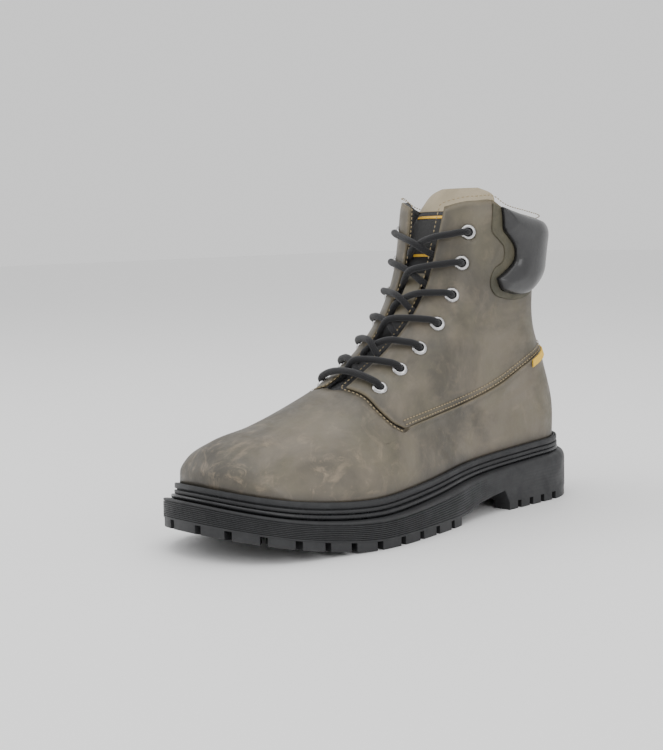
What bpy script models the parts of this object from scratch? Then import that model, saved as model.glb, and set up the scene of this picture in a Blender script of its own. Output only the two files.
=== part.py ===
"""Left lace-up work boot: welted rubber sole, hollow leather upper, padded collar and tongue.

Metres, +Z up, the toe towards -Y, the outer (lateral) side towards +X.
The origin is on the floor, under the middle of the outsole's box.
The last is one height field over the side view: for each side of the foot, the distance from the
centre line at (along, up). Its front and back are rounded off over a roll radius. Pieces of the
upper are drawn on the last unrolled into the side view, as a pattern maker draws them.
"""

import math

import bmesh
import bpy
import numpy as np
from mathutils import Vector

MM = 0.001

# Driving dimensions of the last
LAST_LENGTH = 0.280
BALL_WIDTH = 0.100
BOOT_HEIGHT = 0.194
HEEL_SEAT = 0.0395
BALL_SEAT = 0.0265
TOE_SEAT = 0.0385
TOE_SPRING = 0.016
ARCH_HEIGHT = 0.013

# Walls and gaps
LEATHER = 0.0018
LINING = 0.0014
FIT_GAP = 0.0003
FACET_GAP = 0.0008
TONGUE_THICKNESS = 0.0055
COLLAR_PUFF = 0.0075
PATCH_THICKNESS = 0.0008
INSOLE_THICKNESS = 0.0032

# Sole layers, from the upper's foot down
WELT_THICKNESS = 0.0055
WELT_REACH = 0.0032
BEAD_THICKNESS = 0.0028
BEAD_REACH = 0.0052
SOLE_REACH_TOE = 0.0098
SOLE_REACH_HEEL = 0.0082
TREAD_DEPTH = 0.0050
RIB_DEPTH = 0.0006
RIB_COUNT = 6

# Lacing
EYELET_COUNT = 7
EYELET_OUTER = 0.0046
EYELET_BORE = 0.0024
EYELET_BARREL = 0.0030
EYELET_RISE = 0.0011
EYELET_FROM_EDGE = 0.0160
HOLE_RADIUS = 0.0034
LACE_DIAMETER = 0.0042

# How finely the faces are cut
SEAM_STEPS = 18
FLAP_STEPS = 7
THROAT_STEPS = 2
LOWER_STEPS = 8
TOP_STEPS = 8
HEEL_LUGS = 4
FORE_LUGS = 12
COLLAR_STEPS = 7
TONGUE_ROWS = 14
TONGUE_COLUMNS = 12
FRONT_POINTS = 200

# Fullness of the rolled edges, and the distance under which points are one
FULLNESS = 2.2
QUARTER_TURN = math.pi / 2.0
WELD = 2e-6

# Half widths from the centre line, as shares of BALL_WIDTH, at heights that are shares of BOOT_HEIGHT
WIDTH_STATIONS = (-0.02, 0.18, 0.36, 0.54, 0.71, 0.89, 1.02)
WIDTH_COLUMNS = ("height", "heel", "ankle", "waist", "instep", "ball", "toe", "tip")
LATERAL_WIDTHS = (
    (0.15, 0.330, 0.340, 0.360, 0.475, 0.550, 0.480, 0.450),
    (0.31, 0.340, 0.360, 0.370, 0.430, 0.500, 0.460, 0.430),
    (0.46, 0.330, 0.360, 0.360, 0.380, 0.450, 0.440, 0.400),
    (0.62, 0.310, 0.340, 0.340, 0.335, 0.380, 0.380, 0.360),
    (0.77, 0.320, 0.360, 0.350, 0.340, 0.360, 0.360, 0.360),
    (0.95, 0.340, 0.380, 0.380, 0.370, 0.380, 0.380, 0.380),
)
MEDIAL_WIDTHS = (
    (0.15, 0.310, 0.320, 0.320, 0.395, 0.440, 0.400, 0.400),
    (0.31, 0.330, 0.350, 0.350, 0.385, 0.430, 0.400, 0.390),
    (0.46, 0.320, 0.350, 0.350, 0.360, 0.400, 0.390, 0.370),
    (0.62, 0.310, 0.340, 0.340, 0.330, 0.360, 0.360, 0.340),
    (0.77, 0.320, 0.360, 0.350, 0.340, 0.350, 0.350, 0.340),
    (0.95, 0.340, 0.380, 0.380, 0.370, 0.370, 0.370, 0.360),
)

# The centre line's sideways place, as shares of BALL_WIDTH
CENTRE_LINE = {
    "along": (-0.10, 0.00, 0.50, 0.68, 0.86, 1.02, 1.10),
    "across": (0.0, 0.0, -0.015, -0.045, -0.075, -0.085, -0.090),
}

# The shaft's turn outwards: how far at the top in front, from which height, and how far forward that is
TWIST = 0.065
TWIST_START = 0.45
THROAT_ALONG = 0.38

# Front of the last from under the toe to above the collar: along as a share of LAST_LENGTH,
# up as a share of the way from TOE_SEAT to BOOT_HEIGHT, roll radius as a share of BALL_WIDTH
FRONT_COLUMNS = ("along", "up", "roll")
FRONT_PROFILE = (
    (1.010, -0.115, 0.44),
    (1.012, 0.000, 0.44),
    (1.008, 0.062, 0.44),
    (0.984, 0.115, 0.44),
    (0.930, 0.155, 0.43),
    (0.832, 0.190, 0.42),
    (0.722, 0.252, 0.41),
    (0.620, 0.332, 0.38),
    (0.527, 0.450, 0.33),
    (0.457, 0.590, 0.30),
    (0.419, 0.722, 0.29),
    (0.402, 0.846, 0.29),
    (0.392, 0.965, 0.30),
    (0.384, 1.130, 0.31),
)

# Back of the last: up as a share of the way from HEEL_SEAT to BOOT_HEIGHT
BACK_COLUMNS = ("up", "along", "roll")
BACK_PROFILE = (
    (-0.15, 0.000, 0.33),
    (0.00, 0.000, 0.33),
    (0.15, 0.003, 0.34),
    (0.31, 0.033, 0.33),
    (0.47, 0.070, 0.31),
    (0.64, 0.082, 0.29),
    (0.80, 0.077, 0.29),
    (0.96, 0.064, 0.29),
    (1.10, 0.055, 0.29),
)

# Height of the upper's foot over the floor: the share of each named seat
SEAT_STATIONS = {
    "along": (-0.05, 0.00, 0.15, 0.40, 0.60, 0.72, 0.88, 1.01, 1.06),
    "heel": (1.02, 1.00, 0.96, 0.50, 0.10, 0.00, 0.00, 0.00, 0.00),
    "ball": (0.00, 0.00, 0.00, 0.52, 0.92, 1.00, 0.68, 0.00, 0.00),
    "toe": (0.00, 0.00, 0.00, 0.00, 0.00, 0.00, 0.32, 1.00, 1.12),
}

# Lines of the pattern in the side view: along as a share of LAST_LENGTH, up as a share of BOOT_HEIGHT
SEAM_LINE = (
    (0.050, 0.515), (0.108, 0.500), (0.190, 0.457), (0.268, 0.411), (0.350, 0.379),
    (0.428, 0.358), (0.510, 0.341), (0.593, 0.322),
)
FLAP_EDGE = ((0.593, 0.322), (0.618, 0.345), (0.634, 0.385), (0.636, 0.420), (0.622, 0.446))
COLLAR_FOOT = (
    (0.070, 0.735), (0.1375, 0.726), (0.179, 0.700), (0.218, 0.697), (0.245, 0.704), (0.269, 0.714), (0.289, 0.753),
)
COLLAR_FRONT = (
    (0.289, 0.753), (0.265, 0.773), (0.247, 0.790), (0.233, 0.812), (0.233, 0.839),
    (0.243, 0.863), (0.260, 0.883), (0.280, 0.907), (0.285, 0.936), (0.291, 0.977),
)
TOP_LINE = (
    (0.375, 0.985), (0.362, 0.999), (0.348, 1.000), (0.312, 1.000), (0.292, 0.984),
    (0.193, 0.951), (0.109, 0.932), (0.070, 0.918),
)

# Half the gap between the two throat edges, as a share of BALL_WIDTH, from the flap up to the top
THROAT_GAP = {
    "up": (0.446, 0.480, 0.530, 0.600, 0.700, 0.800, 0.900, 1.000),
    "half": (0.098, 0.088, 0.095, 0.107, 0.122, 0.122, 0.130, 0.150),
}

# Heights of the lowest and the highest eyelet, and the tab's span along the seam
EYELET_SPAN = (0.470, 0.910)
TAB_DEPTH = 0.0048

# The tongue: height share, and half its width as a share of BALL_WIDTH, and how far its top leans back
TONGUE = {
    "up": (0.395, 0.450, 0.600, 0.800, 0.950, 1.010, 1.045, 1.060),
    "half": (0.200, 0.240, 0.270, 0.300, 0.310, 0.290, 0.200, 0.110),
}
TONGUE_LEAN = 0.026
TONGUE_BEND = 0.86

# The sole: shares of one side's edge, from the back of the heel to the toe tip
BREAST_FOOT = 0.284
BREAST_TOP = 0.298
FORE_TREAD = 0.452
HEEL_NOTCHES = np.linspace(0.149, 0.254, HEEL_LUGS)
FORE_NOTCHES = np.linspace(0.484, 0.970, FORE_LUGS - 1)
NOTCH_WIDTH = 0.0036
SPRING_START = 0.72
SPRING_END = 1.05
SOLE_WAIST = {
    "share": (0.0, BREAST_FOOT, BREAST_TOP, 0.340, 0.384, 0.424, FORE_TREAD, 1.0),
    "arch": (0.0, 0.0, 1.00, 0.78, 0.50, 0.12, 0.0, 0.0),
}

# Side of the outsole from the tread up to the lip: height share and the inset at the toe and the heel
SIDE_COLUMNS = ("height", "inset_toe", "inset_heel")
SIDE_BELOW = ((0.00, 0.0005, 0.0003),)
SIDE_ABOVE = (
    (0.80, 0.0005, 0.0001),
    (0.83, 0.0008, 0.0002),
    (0.95, 0.0013, 0.0010),
    (1.00, 0.0020, 0.0042),
)
RIB_BAND = (0.08, 0.76)
LUG_LENGTH = 0.013
GROOVE_WIDTH = 0.0025
INNER_BLOCK = 0.0065
WELT_SEAT = 0.008

# Section of the welt: reach past the upper's foot, and height over it as a share of the thickness
WELT_SECTION = (
    (0.0009, 0.00), (0.0011, 0.14), (0.0025, 0.10), (0.0029, -0.42), (0.0015, -0.52),
    (0.0015, -0.60), (0.0032, -0.68), (0.0032, -1.00),
)

# Levels of the upper's layers, measured out from the last's surface, which is the lower panel's face
UNDER = LEATHER + FIT_GAP
WALL = UNDER + LINING
SEAM_RISE = 0.0009
TONGUE_LEVEL = WALL + 2.2 * FACET_GAP


def hermite(x, knots, values):
    """A smooth curve through the values, read at x."""
    x = np.asarray(x, float)
    knots = np.asarray(knots, float)
    values = np.asarray(values, float)
    step = np.diff(knots)
    rate = np.diff(values) / step
    slope = np.empty(len(knots))
    slope[0], slope[-1] = rate[0], rate[-1]
    slope[1:-1] = (rate[:-1] * step[1:] + rate[1:] * step[:-1]) / (step[:-1] + step[1:])
    i = np.clip(np.searchsorted(knots, x, side="right") - 1, 0, len(knots) - 2)
    t = np.clip((x - knots[i]) / step[i], 0.0, 1.0)
    rise = t * t * (3.0 - 2.0 * t)
    bend_in = t * (1.0 - t) ** 2
    bend_out = t * t * (t - 1.0)
    return (
        values[i] * (1.0 - rise) + values[i + 1] * rise
        + step[i] * (bend_in * slope[i] + bend_out * slope[i + 1])
    )


def smooth_path(points, count):
    """A smooth curve through 2D or 3D points, sampled evenly by length."""
    points = np.asarray(points, float)
    chord = np.concatenate([[0.0], np.cumsum(np.linalg.norm(np.diff(points, axis=0), axis=1))])
    fine = np.linspace(0.0, chord[-1], 40 * len(points))
    curve = np.stack([hermite(fine, chord, column) for column in points.T], axis=1)
    return evenly(curve, count)


def evenly(curve, count):
    """The polyline cut into count equal lengths."""
    length = np.concatenate([[0.0], np.cumsum(np.linalg.norm(np.diff(curve, axis=0), axis=1))])
    at = np.linspace(0.0, length[-1], count + 1)
    return np.stack([np.interp(at, length, column) for column in curve.T], axis=1)


def hermite_rows(x, knots, rows):
    """The same smooth curve where each x has its own column of values."""
    x = np.asarray(x, float)
    knots = np.asarray(knots, float)
    step = np.diff(knots)[:, None]
    rate = np.diff(rows, axis=0) / step
    slope = np.empty_like(rows)
    slope[0], slope[-1] = rate[0], rate[-1]
    slope[1:-1] = (rate[:-1] * step[1:] + rate[1:] * step[:-1]) / (step[:-1] + step[1:])
    i = np.clip(np.searchsorted(knots, x, side="right") - 1, 0, len(knots) - 2)
    t = np.clip((x - knots[i]) / step[i, 0], 0.0, 1.0)
    rise = t * t * (3.0 - 2.0 * t)
    column = np.arange(len(x))
    return (
        rows[i, column] * (1.0 - rise) + rows[i + 1, column] * rise
        + step[i, 0] * t * (1.0 - t) ** 2 * slope[i, column]
        + step[i, 0] * t * t * (t - 1.0) * slope[i + 1, column]
    )


def front_line():
    """The front profile as a fine line of (along, up, roll radius)."""
    rows = np.array(FRONT_PROFILE)
    knots = np.column_stack([
        rows[:, 0] * LAST_LENGTH,
        TOE_SEAT + rows[:, 1] * (BOOT_HEIGHT - TOE_SEAT),
        rows[:, 2] * BALL_WIDTH,
    ])
    chord = np.concatenate([[0.0], np.cumsum(np.linalg.norm(np.diff(knots[:, :2], axis=0), axis=1))])
    fine = np.linspace(0.0, chord[-1], FRONT_POINTS)
    return np.stack([hermite(fine, chord, column) for column in knots.T], axis=1)


FRONT = front_line()
FRONT_RUN = np.concatenate([[0.0], np.cumsum(np.linalg.norm(np.diff(FRONT[:, :2], axis=0), axis=1))])
WIDTHS = {1: np.array(LATERAL_WIDTHS), -1: np.array(MEDIAL_WIDTHS)}


def back_at(up):
    """(along, roll radius) of the back profile at a height."""
    rows = np.array(BACK_PROFILE)
    heights = HEEL_SEAT + rows[:, 0] * (BOOT_HEIGHT - HEEL_SEAT)
    return hermite(up, heights, rows[:, 1] * LAST_LENGTH), hermite(up, heights, rows[:, 2] * BALL_WIDTH)


def nearest_front(along, up):
    """Nearest point of the front profile: (its place, the way inwards, the depth, roll radius)."""
    point = np.stack([along, up], axis=1)
    start = FRONT[:-1, :2]
    edge = FRONT[1:, :2] - start
    share = ((point[:, None] - start) * edge).sum(2) / (edge**2).sum(1)
    share = np.clip(share, 0.0, 1.0)
    foot = start + edge * share[..., None]
    away = np.linalg.norm(point[:, None] - foot, axis=2)
    best = away.argmin(1)
    row = np.arange(len(point))
    foot = foot[row, best]
    inward = np.stack([-edge[best, 1], edge[best, 0]], axis=1)
    inward /= np.linalg.norm(inward, axis=1)[:, None]
    offset = point - foot
    depth = away[row, best] * np.where((offset * inward).sum(1) < 0.0, -1.0, 1.0)
    clear = np.abs(depth) > 1e-7
    inward[clear] = offset[clear] / depth[clear, None]
    t = share[row, best]
    return foot, inward, depth, FRONT[best, 2] * (1.0 - t) + FRONT[best + 1, 2] * t


def rounded(share):
    """How full the last is at a share of the roll radius: 0 on the profile, 1 past the roll."""
    return (1.0 - (1.0 - np.clip(share, 0.0, 1.0)) ** FULLNESS) ** (1.0 / FULLNESS)


def full_width(along, up, side):
    rows = WIDTHS[side]
    stations = np.array(WIDTH_STATIONS) * LAST_LENGTH
    bands = np.stack([hermite(along, stations, row[1:] * BALL_WIDTH) for row in rows])
    return hermite_rows(up, rows[:, 0] * BOOT_HEIGHT, bands)


def centre_at(along, up):
    """The centre line's sideways place: the shaft's front turns outwards as it rises."""
    stations = np.array(CENTRE_LINE["along"]) * LAST_LENGTH
    rise = np.clip((up / BOOT_HEIGHT - TWIST_START) / (1.0 - TWIST_START), 0.0, None)
    ahead = np.clip(along / (THROAT_ALONG * LAST_LENGTH), 0.0, 1.0)
    return hermite(along, stations, np.array(CENTRE_LINE["across"]) * BALL_WIDTH) + TWIST * BALL_WIDTH * rise * ahead


def on_last(along, up, side):
    """Points (across, along, up) on the last's surface over side-view places."""
    _, _, depth, roll = nearest_front(along, up)
    back, back_roll = back_at(up)
    half = full_width(along, up, side) * rounded(depth / roll) * rounded((along - back) / back_roll)
    return np.stack([centre_at(along, up) + side * half, along, up], axis=1)


def spread_of(depth, roll):
    """Depth in the side view to depth in the flat pattern."""
    turn = np.arccos(np.clip(1.0 - depth / roll, -1.0, 1.0))
    return np.where(depth < roll, roll * (1.0 - QUARTER_TURN + turn), depth)


def depth_of(spread, roll):
    """Depth in the flat pattern to depth in the side view."""
    turn = np.clip(QUARTER_TURN - 1.0 + spread / roll, 0.0, QUARTER_TURN)
    return np.where(spread < roll, roll * (1.0 - np.cos(turn)), spread)


def flatten(points):
    """Side-view places to places on the flat pattern."""
    points = np.asarray(points, float)
    foot, inward, depth, roll = nearest_front(points[:, 0], points[:, 1])
    near = depth < roll
    flat = np.where(near[:, None], foot + inward * spread_of(depth, roll)[:, None], points)
    back, back_roll = back_at(flat[:, 1])
    depth = flat[:, 0] - back
    flat[:, 0] = np.where(depth < back_roll, back + spread_of(depth, back_roll), flat[:, 0])
    return flat


def roll_up(flat, side):
    """Places on the flat pattern to points on the last, of one side."""
    flat = np.array(flat, float)
    shape = flat.shape[:-1]
    flat = flat.reshape(-1, 2)
    back, back_roll = back_at(flat[:, 1])
    spread = flat[:, 0] - back
    flat[:, 0] = np.where(spread < back_roll, back + depth_of(spread, back_roll), flat[:, 0])
    foot, inward, spread, roll = nearest_front(flat[:, 0], flat[:, 1])
    near = spread < roll
    flat = np.where(near[:, None], foot + inward * depth_of(spread, roll)[:, None], flat)
    return on_last(flat[:, 0], flat[:, 1], side).reshape(*shape, 3)


def seat_at(along):
    """Height of the upper's foot over the floor."""
    stations = np.array(SEAT_STATIONS["along"]) * LAST_LENGTH
    seats = (("heel", HEEL_SEAT), ("ball", BALL_SEAT), ("toe", TOE_SEAT))
    return sum(hermite(along, stations, SEAT_STATIONS[name]) * seat for name, seat in seats)


def run_at(up):
    """Distance along the front profile, from its lower end, at a height."""
    return np.interp(up, FRONT[:, 1], FRONT_RUN)


def front_sheet(run, across):
    """Points of the last over the front: a distance along the profile, and one across from it."""
    run, across = np.broadcast_arrays(np.asarray(run, float), np.asarray(across, float))
    shape = run.shape
    run, across = run.ravel(), across.ravel()
    place = np.stack([np.interp(run, FRONT_RUN, FRONT[:, k]) for k in range(3)], axis=1)
    ahead = np.stack([np.interp(run + MM, FRONT_RUN, FRONT[:, k]) for k in range(2)], axis=1)
    behind = np.stack([np.interp(run - MM, FRONT_RUN, FRONT[:, k]) for k in range(2)], axis=1)
    way = ahead - behind
    way /= np.linalg.norm(way, axis=1)[:, None]
    inward = np.stack([-way[:, 1], way[:, 0]], axis=1)
    roll = place[:, 2]
    depth = depth_of(roll * (1.0 - QUARTER_TURN) + np.abs(across), roll)
    spot = place[:, :2] + inward * depth[:, None]
    lateral = on_last(spot[:, 0], spot[:, 1], 1)
    medial = on_last(spot[:, 0], spot[:, 1], -1)
    return np.where((across >= 0.0)[:, None], lateral, medial).reshape(*shape, 3)


def front_normal(run, across):
    """The way out of the last at places of front_sheet."""
    step = 0.5 * MM
    up_way = front_sheet(run + step, across) - front_sheet(run - step, across)
    out_way = front_sheet(run, across + step) - front_sheet(run, across - step)
    normal = np.cross(up_way, out_way)
    return normal / np.linalg.norm(normal, axis=-1, keepdims=True)


def throat_half(up):
    """Half the gap of the throat at a height, measured on the pattern from the front profile."""
    gap = hermite(up / BOOT_HEIGHT, THROAT_GAP["up"], THROAT_GAP["half"]) * BALL_WIDTH
    run = run_at(up)
    across = np.linspace(0.0, 0.4 * BALL_WIDTH, 60)
    reach = np.stack([front_sheet(run, np.full_like(run, a))[:, 0] - front_sheet(run, 0.0 * run)[:, 0] for a in across])
    return np.array([np.interp(g, reach[:, k], across) for k, g in enumerate(gap)])


def throat_edge(ups):
    """Pattern places of the throat's edge at these heights."""
    run = run_at(ups)
    place = np.stack([np.interp(run, FRONT_RUN, FRONT[:, k]) for k in range(3)], axis=1)
    ahead = np.stack([np.interp(run + MM, FRONT_RUN, FRONT[:, k]) for k in range(2)], axis=1)
    way = ahead - place[:, :2]
    way /= np.linalg.norm(way, axis=1)[:, None]
    inward = np.stack([-way[:, 1], way[:, 0]], axis=1)
    spread = place[:, 2] * (1.0 - QUARTER_TURN) + throat_half(ups)
    return place[:, :2] + inward * spread[:, None]


def front_edge(ups):
    """Pattern places of the front profile itself at these heights."""
    run = run_at(ups)
    place = np.stack([np.interp(run, FRONT_RUN, FRONT[:, k]) for k in range(3)], axis=1)
    ahead = np.stack([np.interp(run + MM, FRONT_RUN, FRONT[:, k]) for k in range(2)], axis=1)
    way = ahead - place[:, :2]
    way /= np.linalg.norm(way, axis=1)[:, None]
    inward = np.stack([-way[:, 1], way[:, 0]], axis=1)
    return place[:, :2] + inward * (place[:, 2] * (1.0 - QUARTER_TURN))[:, None]


def back_edge(low, high, steps):
    """Pattern places up the back profile."""
    ups = np.linspace(low, high, 60)
    back, roll = back_at(ups)
    return evenly(np.stack([back + roll * (1.0 - QUARTER_TURN), ups], axis=1), steps)


def coons(low, high, back, front):
    """A grid of pattern places between four edges: rows from low to high, columns from back to front."""
    u = np.linspace(0.0, 1.0, len(low))[None, :, None]
    v = np.linspace(0.0, 1.0, len(back))[:, None, None]
    across = low[None] * (1.0 - v) + high[None] * v
    along = back[:, None] * (1.0 - u) + front[:, None] * u
    corners = (
        low[0] * (1.0 - u) * (1.0 - v) + low[-1] * u * (1.0 - v)
        + high[0] * (1.0 - u) * v + high[-1] * u * v
    )
    return across + along - corners


def share_points(shares):
    return np.array(shares) * (LAST_LENGTH, BOOT_HEIGHT)


def seam_flat():
    """The seam on the pattern, from the back to the foot of the flap."""
    points = share_points(SEAM_LINE)
    points[0, 0] = back_at(points[:1, 1])[0][0]
    return smooth_path(flatten(points), SEAM_STEPS)


def flap_flat():
    """The flap's free edge on the pattern, from the seam to the throat."""
    points = flatten(share_points(FLAP_EDGE))
    points[-1] = throat_edge(np.array([FLAP_EDGE[-1][1] * BOOT_HEIGHT]))[0]
    return smooth_path(points, FLAP_STEPS)


def foot_flat():
    """The upper's foot on the pattern, from the back to the toe."""
    turn = np.linspace(0.0, math.pi, 240)
    heel = back_at(np.array([HEEL_SEAT]))[0][0]
    toe = np.interp(TOE_SEAT, FRONT[:, 1], FRONT[:, 0])
    along = heel + (toe - heel) * (1.0 - np.cos(turn)) / 2.0
    places = np.stack([along, seat_at(along) + FIT_GAP], axis=1)
    return evenly(flatten(places), SEAM_STEPS + FLAP_STEPS + THROAT_STEPS)


def lower_flat():
    """Pattern grid of the lower panel with the vamp, from the sole to the seam, the flap and the throat."""
    seam, flap, foot = seam_flat(), flap_flat(), foot_flat()
    throat_foot = front_edge(np.array([(FLAP_EDGE[-1][1] - 0.006) * BOOT_HEIGHT]))[0]
    bottom = np.linspace(0.0, 1.0, THROAT_STEPS + 1)[1:, None]
    bottom = flap[-1] * (1.0 - bottom) + throat_foot * bottom
    high = np.concatenate([seam, flap[1:], bottom])
    heel_up = seat_at(np.array([0.0]))[0] + FIT_GAP
    back = back_edge(heel_up, SEAM_LINE[0][1] * BOOT_HEIGHT, LOWER_STEPS)
    ridge_ups = np.linspace(TOE_SEAT + FIT_GAP, (FLAP_EDGE[-1][1] - 0.006) * BOOT_HEIGHT, 160)
    front = evenly(front_edge(ridge_ups), LOWER_STEPS)
    back[0], back[-1] = foot[0], seam[0]
    front[0], front[-1] = foot[-1], throat_foot
    return coons(foot, high, back, front)


def top_flat():
    """The top edge and the throat's edge on the pattern, from the back of the collar to the flap."""
    points = share_points(TOP_LINE)[::-1]
    points[0, 0] = back_at(points[:1, 1])[0][0]
    flat = flatten(points)
    flat[0] = back_edge(points[0, 1] - MM, points[0, 1], 1)[-1]
    flat[-1] = throat_edge(points[-1:, 1])[0]
    top = smooth_path(flat, TOP_STEPS)
    throat = throat_edge(np.linspace(points[-1, 1], FLAP_EDGE[-1][1] * BOOT_HEIGHT, 80))
    return np.concatenate([top, evenly(throat, SEAM_STEPS - TOP_STEPS)[1:]])


def shaft_flat():
    """Pattern grid of the shaft, from the seam to the top edge and the throat."""
    seam, flap, high = seam_flat(), flap_flat(), top_flat()
    back = back_edge(SEAM_LINE[0][1] * BOOT_HEIGHT, TOP_LINE[-1][1] * BOOT_HEIGHT, FLAP_STEPS)
    back[0], back[-1] = seam[0], high[0]
    return coons(seam, high, back, flap)


def both_sides(flat, ridge=False):
    """Both sides of a pattern grid, whose back column, and front column at a ridge, lie on the centre line."""
    grids = [roll_up(flat, 1), roll_up(flat, -1)]
    for grid in grids:
        for column in (0, -1) if ridge else (0,):
            grid[:, column, 0] = centre_at(grid[:, column, 1], grid[:, column, 2])
    return grids


def shared_normals(grids):
    """Outward normals at the points of grids that meet: the odd grids are the medial ones."""
    points = np.concatenate([grid.reshape(-1, 3) for grid in grids])
    _, merged = np.unique(np.round(points / WELD).astype(np.int64), axis=0, return_inverse=True)
    merged = merged.reshape(-1)
    total = np.zeros((merged.max() + 1, 3))
    first = 0
    for number, grid in enumerate(grids):
        rows, columns = grid.shape[:2]
        index = merged[first:first + rows * columns].reshape(rows, columns)
        diagonal = grid[1:, 1:] - grid[:-1, :-1]
        other = grid[1:, :-1] - grid[:-1, 1:]
        normal = np.cross(diagonal, other) * (1.0 if number % 2 == 0 else -1.0)
        for corner in (index[:-1, :-1], index[1:, :-1], index[:-1, 1:], index[1:, 1:]):
            np.add.at(total, corner.ravel(), normal.reshape(-1, 3))
        first += rows * columns
    total /= np.linalg.norm(total, axis=1)[:, None]
    normals = total[merged]
    sizes = np.cumsum([0] + [grid.shape[0] * grid.shape[1] for grid in grids])
    return [normals[a:b].reshape(grid.shape) for a, b, grid in zip(sizes, sizes[1:], grids)]


def add_mesh(name, bm, material, smooth=True):
    """A finished bmesh as an object of the boot's collection, moved to the boot's own origin."""
    for vert in bm.verts:
        vert.co = ORIGIN.to_world(vert.co)
    bmesh.ops.recalc_face_normals(bm, faces=bm.faces)
    if bm.calc_volume(signed=True) < 0.0:
        bmesh.ops.reverse_faces(bm, faces=bm.faces)
    mesh = bpy.data.meshes.new(name)
    bm.to_mesh(mesh)
    bm.free()
    mesh.materials.append(material)
    if smooth:
        mesh.shade_smooth()
        mesh.set_sharp_from_angle(angle=math.radians(35.0))
    piece = bpy.data.objects.new(name, mesh)
    BOOT.objects.link(piece)
    return piece


def wall_of(grids, normals, outer, inner):
    """A closed wall between two offsets of grids that meet.

    Where two grids meet at unlike offsets, a step joins them. Free edges are closed by a rim."""
    bm = bmesh.new()
    edges = {}
    for grid, normal, high, low in zip(grids, normals, outer, inner):
        rows, columns = grid.shape[:2]
        skins = []
        for offset in (high, low):
            points = grid + normal * np.broadcast_to(offset, (rows, columns))[..., None]
            verts = [[bm.verts.new(p) for p in row] for row in points]
            skins.append(verts)
            for j in range(rows - 1):
                for i in range(columns - 1):
                    bm.faces.new((verts[j][i], verts[j][i + 1], verts[j + 1][i + 1], verts[j + 1][i]))
        keys = [[tuple(np.round(p / WELD).astype(int)) for p in row] for row in grid]
        rim = [(j, 0, j + 1, 0) for j in range(rows - 1)]
        rim += [(j, columns - 1, j + 1, columns - 1) for j in range(rows - 1)]
        rim += [(0, i, 0, i + 1) for i in range(columns - 1)]
        rim += [(rows - 1, i, rows - 1, i + 1) for i in range(columns - 1)]
        for ja, ia, jb, ib in rim:
            key = tuple(sorted((keys[ja][ia], keys[jb][ib])))
            turned = keys[ja][ia] != key[0]
            pair = [(skin[ja][ia], skin[jb][ib]) for skin in skins]
            if turned:
                pair = [(b, a) for a, b in pair]
            edges.setdefault(key, []).append(pair)
    for uses in edges.values():
        if len(uses) == 1:
            join_edges(bm, uses[0][0], uses[0][1])
        else:
            join_edges(bm, uses[0][0], uses[1][0])
            join_edges(bm, uses[0][1], uses[1][1])
    bmesh.ops.remove_doubles(bm, verts=bm.verts, dist=WELD)
    bmesh.ops.dissolve_degenerate(bm, edges=bm.edges, dist=WELD)
    return bm


def join_edges(bm, first, second):
    """A face between two edges, or a triangle where they share an end, or nothing where they coincide."""
    ring = [first[0], first[1], second[1], second[0]]
    kept = []
    for vert in ring:
        if all((vert.co - other.co).length > WELD for other in kept):
            kept.append(vert)
    if len(kept) > 2:
        bm.faces.new(kept)


class Origin:
    """Where the boot's own origin lies among the last's (across, along, up)."""

    def __init__(self, across, along):
        self.across = across
        self.along = along

    def to_world(self, point):
        return Vector((point[0] - self.across, self.along - point[1], point[2]))


class Edge:
    """The upper's foot in plan: both sides as fine lines, with the way outwards."""

    def __init__(self):
        turn = np.linspace(0.0, math.pi, 400)
        heel = back_at(np.array([HEEL_SEAT]))[0][0]
        toe = np.interp(TOE_SEAT, FRONT[:, 1], FRONT[:, 0])
        along = heel + (toe - heel) * (1.0 - np.cos(turn)) / 2.0
        self.sides = {}
        for side in (1, -1):
            line = on_last(along, seat_at(along), side)[:, :2]
            run = np.concatenate([[0.0], np.cumsum(np.linalg.norm(np.diff(line, axis=0), axis=1))])
            way = np.gradient(line, run, axis=0)
            out = np.stack([way[:, 1], -way[:, 0]], axis=1) * side
            out[0], out[-1] = (0.0, -1.0), (0.0, 1.0)
            self.sides[side] = (run / run[-1], line, out, run[-1])

    def ring(self, shares, reach, height):
        """Points (across, along, up) around the edge: the lateral side to the toe, the medial side back."""
        rings = []
        for side, at in ((1, shares), (-1, shares[::-1][1:-1])):
            share, line, out, _ = self.sides[side]
            spot = np.stack([np.interp(at, share, line[:, k]) for k in range(2)], axis=1)
            away = np.stack([np.interp(at, share, out[:, k]) for k in range(2)], axis=1)
            away /= np.linalg.norm(away, axis=1)[:, None]
            spot = spot + away * np.broadcast_to(reach(at), at.shape)[:, None]
            rings.append(np.column_stack([spot, height(at, spot[:, 1])]))
        return np.concatenate(rings)


def between_ends(heel, toe):
    """A size that changes from the heel's value to the toe's past the waist."""
    return lambda share: hermite(share, (0.0, 0.30, 0.50, 1.0), (heel, heel, toe, toe))


def level(drop):
    """Height of a layer that lies this far below the upper's foot."""
    return lambda share, along: seat_at(along) - drop


def tread_top(share, along):
    """Height of the tread's floor, from which the lugs stand down."""
    arch = np.interp(share, SOLE_WAIST["share"], SOLE_WAIST["arch"])
    spring = np.clip((along / LAST_LENGTH - SPRING_START) / (SPRING_END - SPRING_START), 0.0, None)
    return TREAD_DEPTH + arch * (ARCH_HEIGHT - TREAD_DEPTH) + TOE_SPRING * spring**1.6


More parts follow.
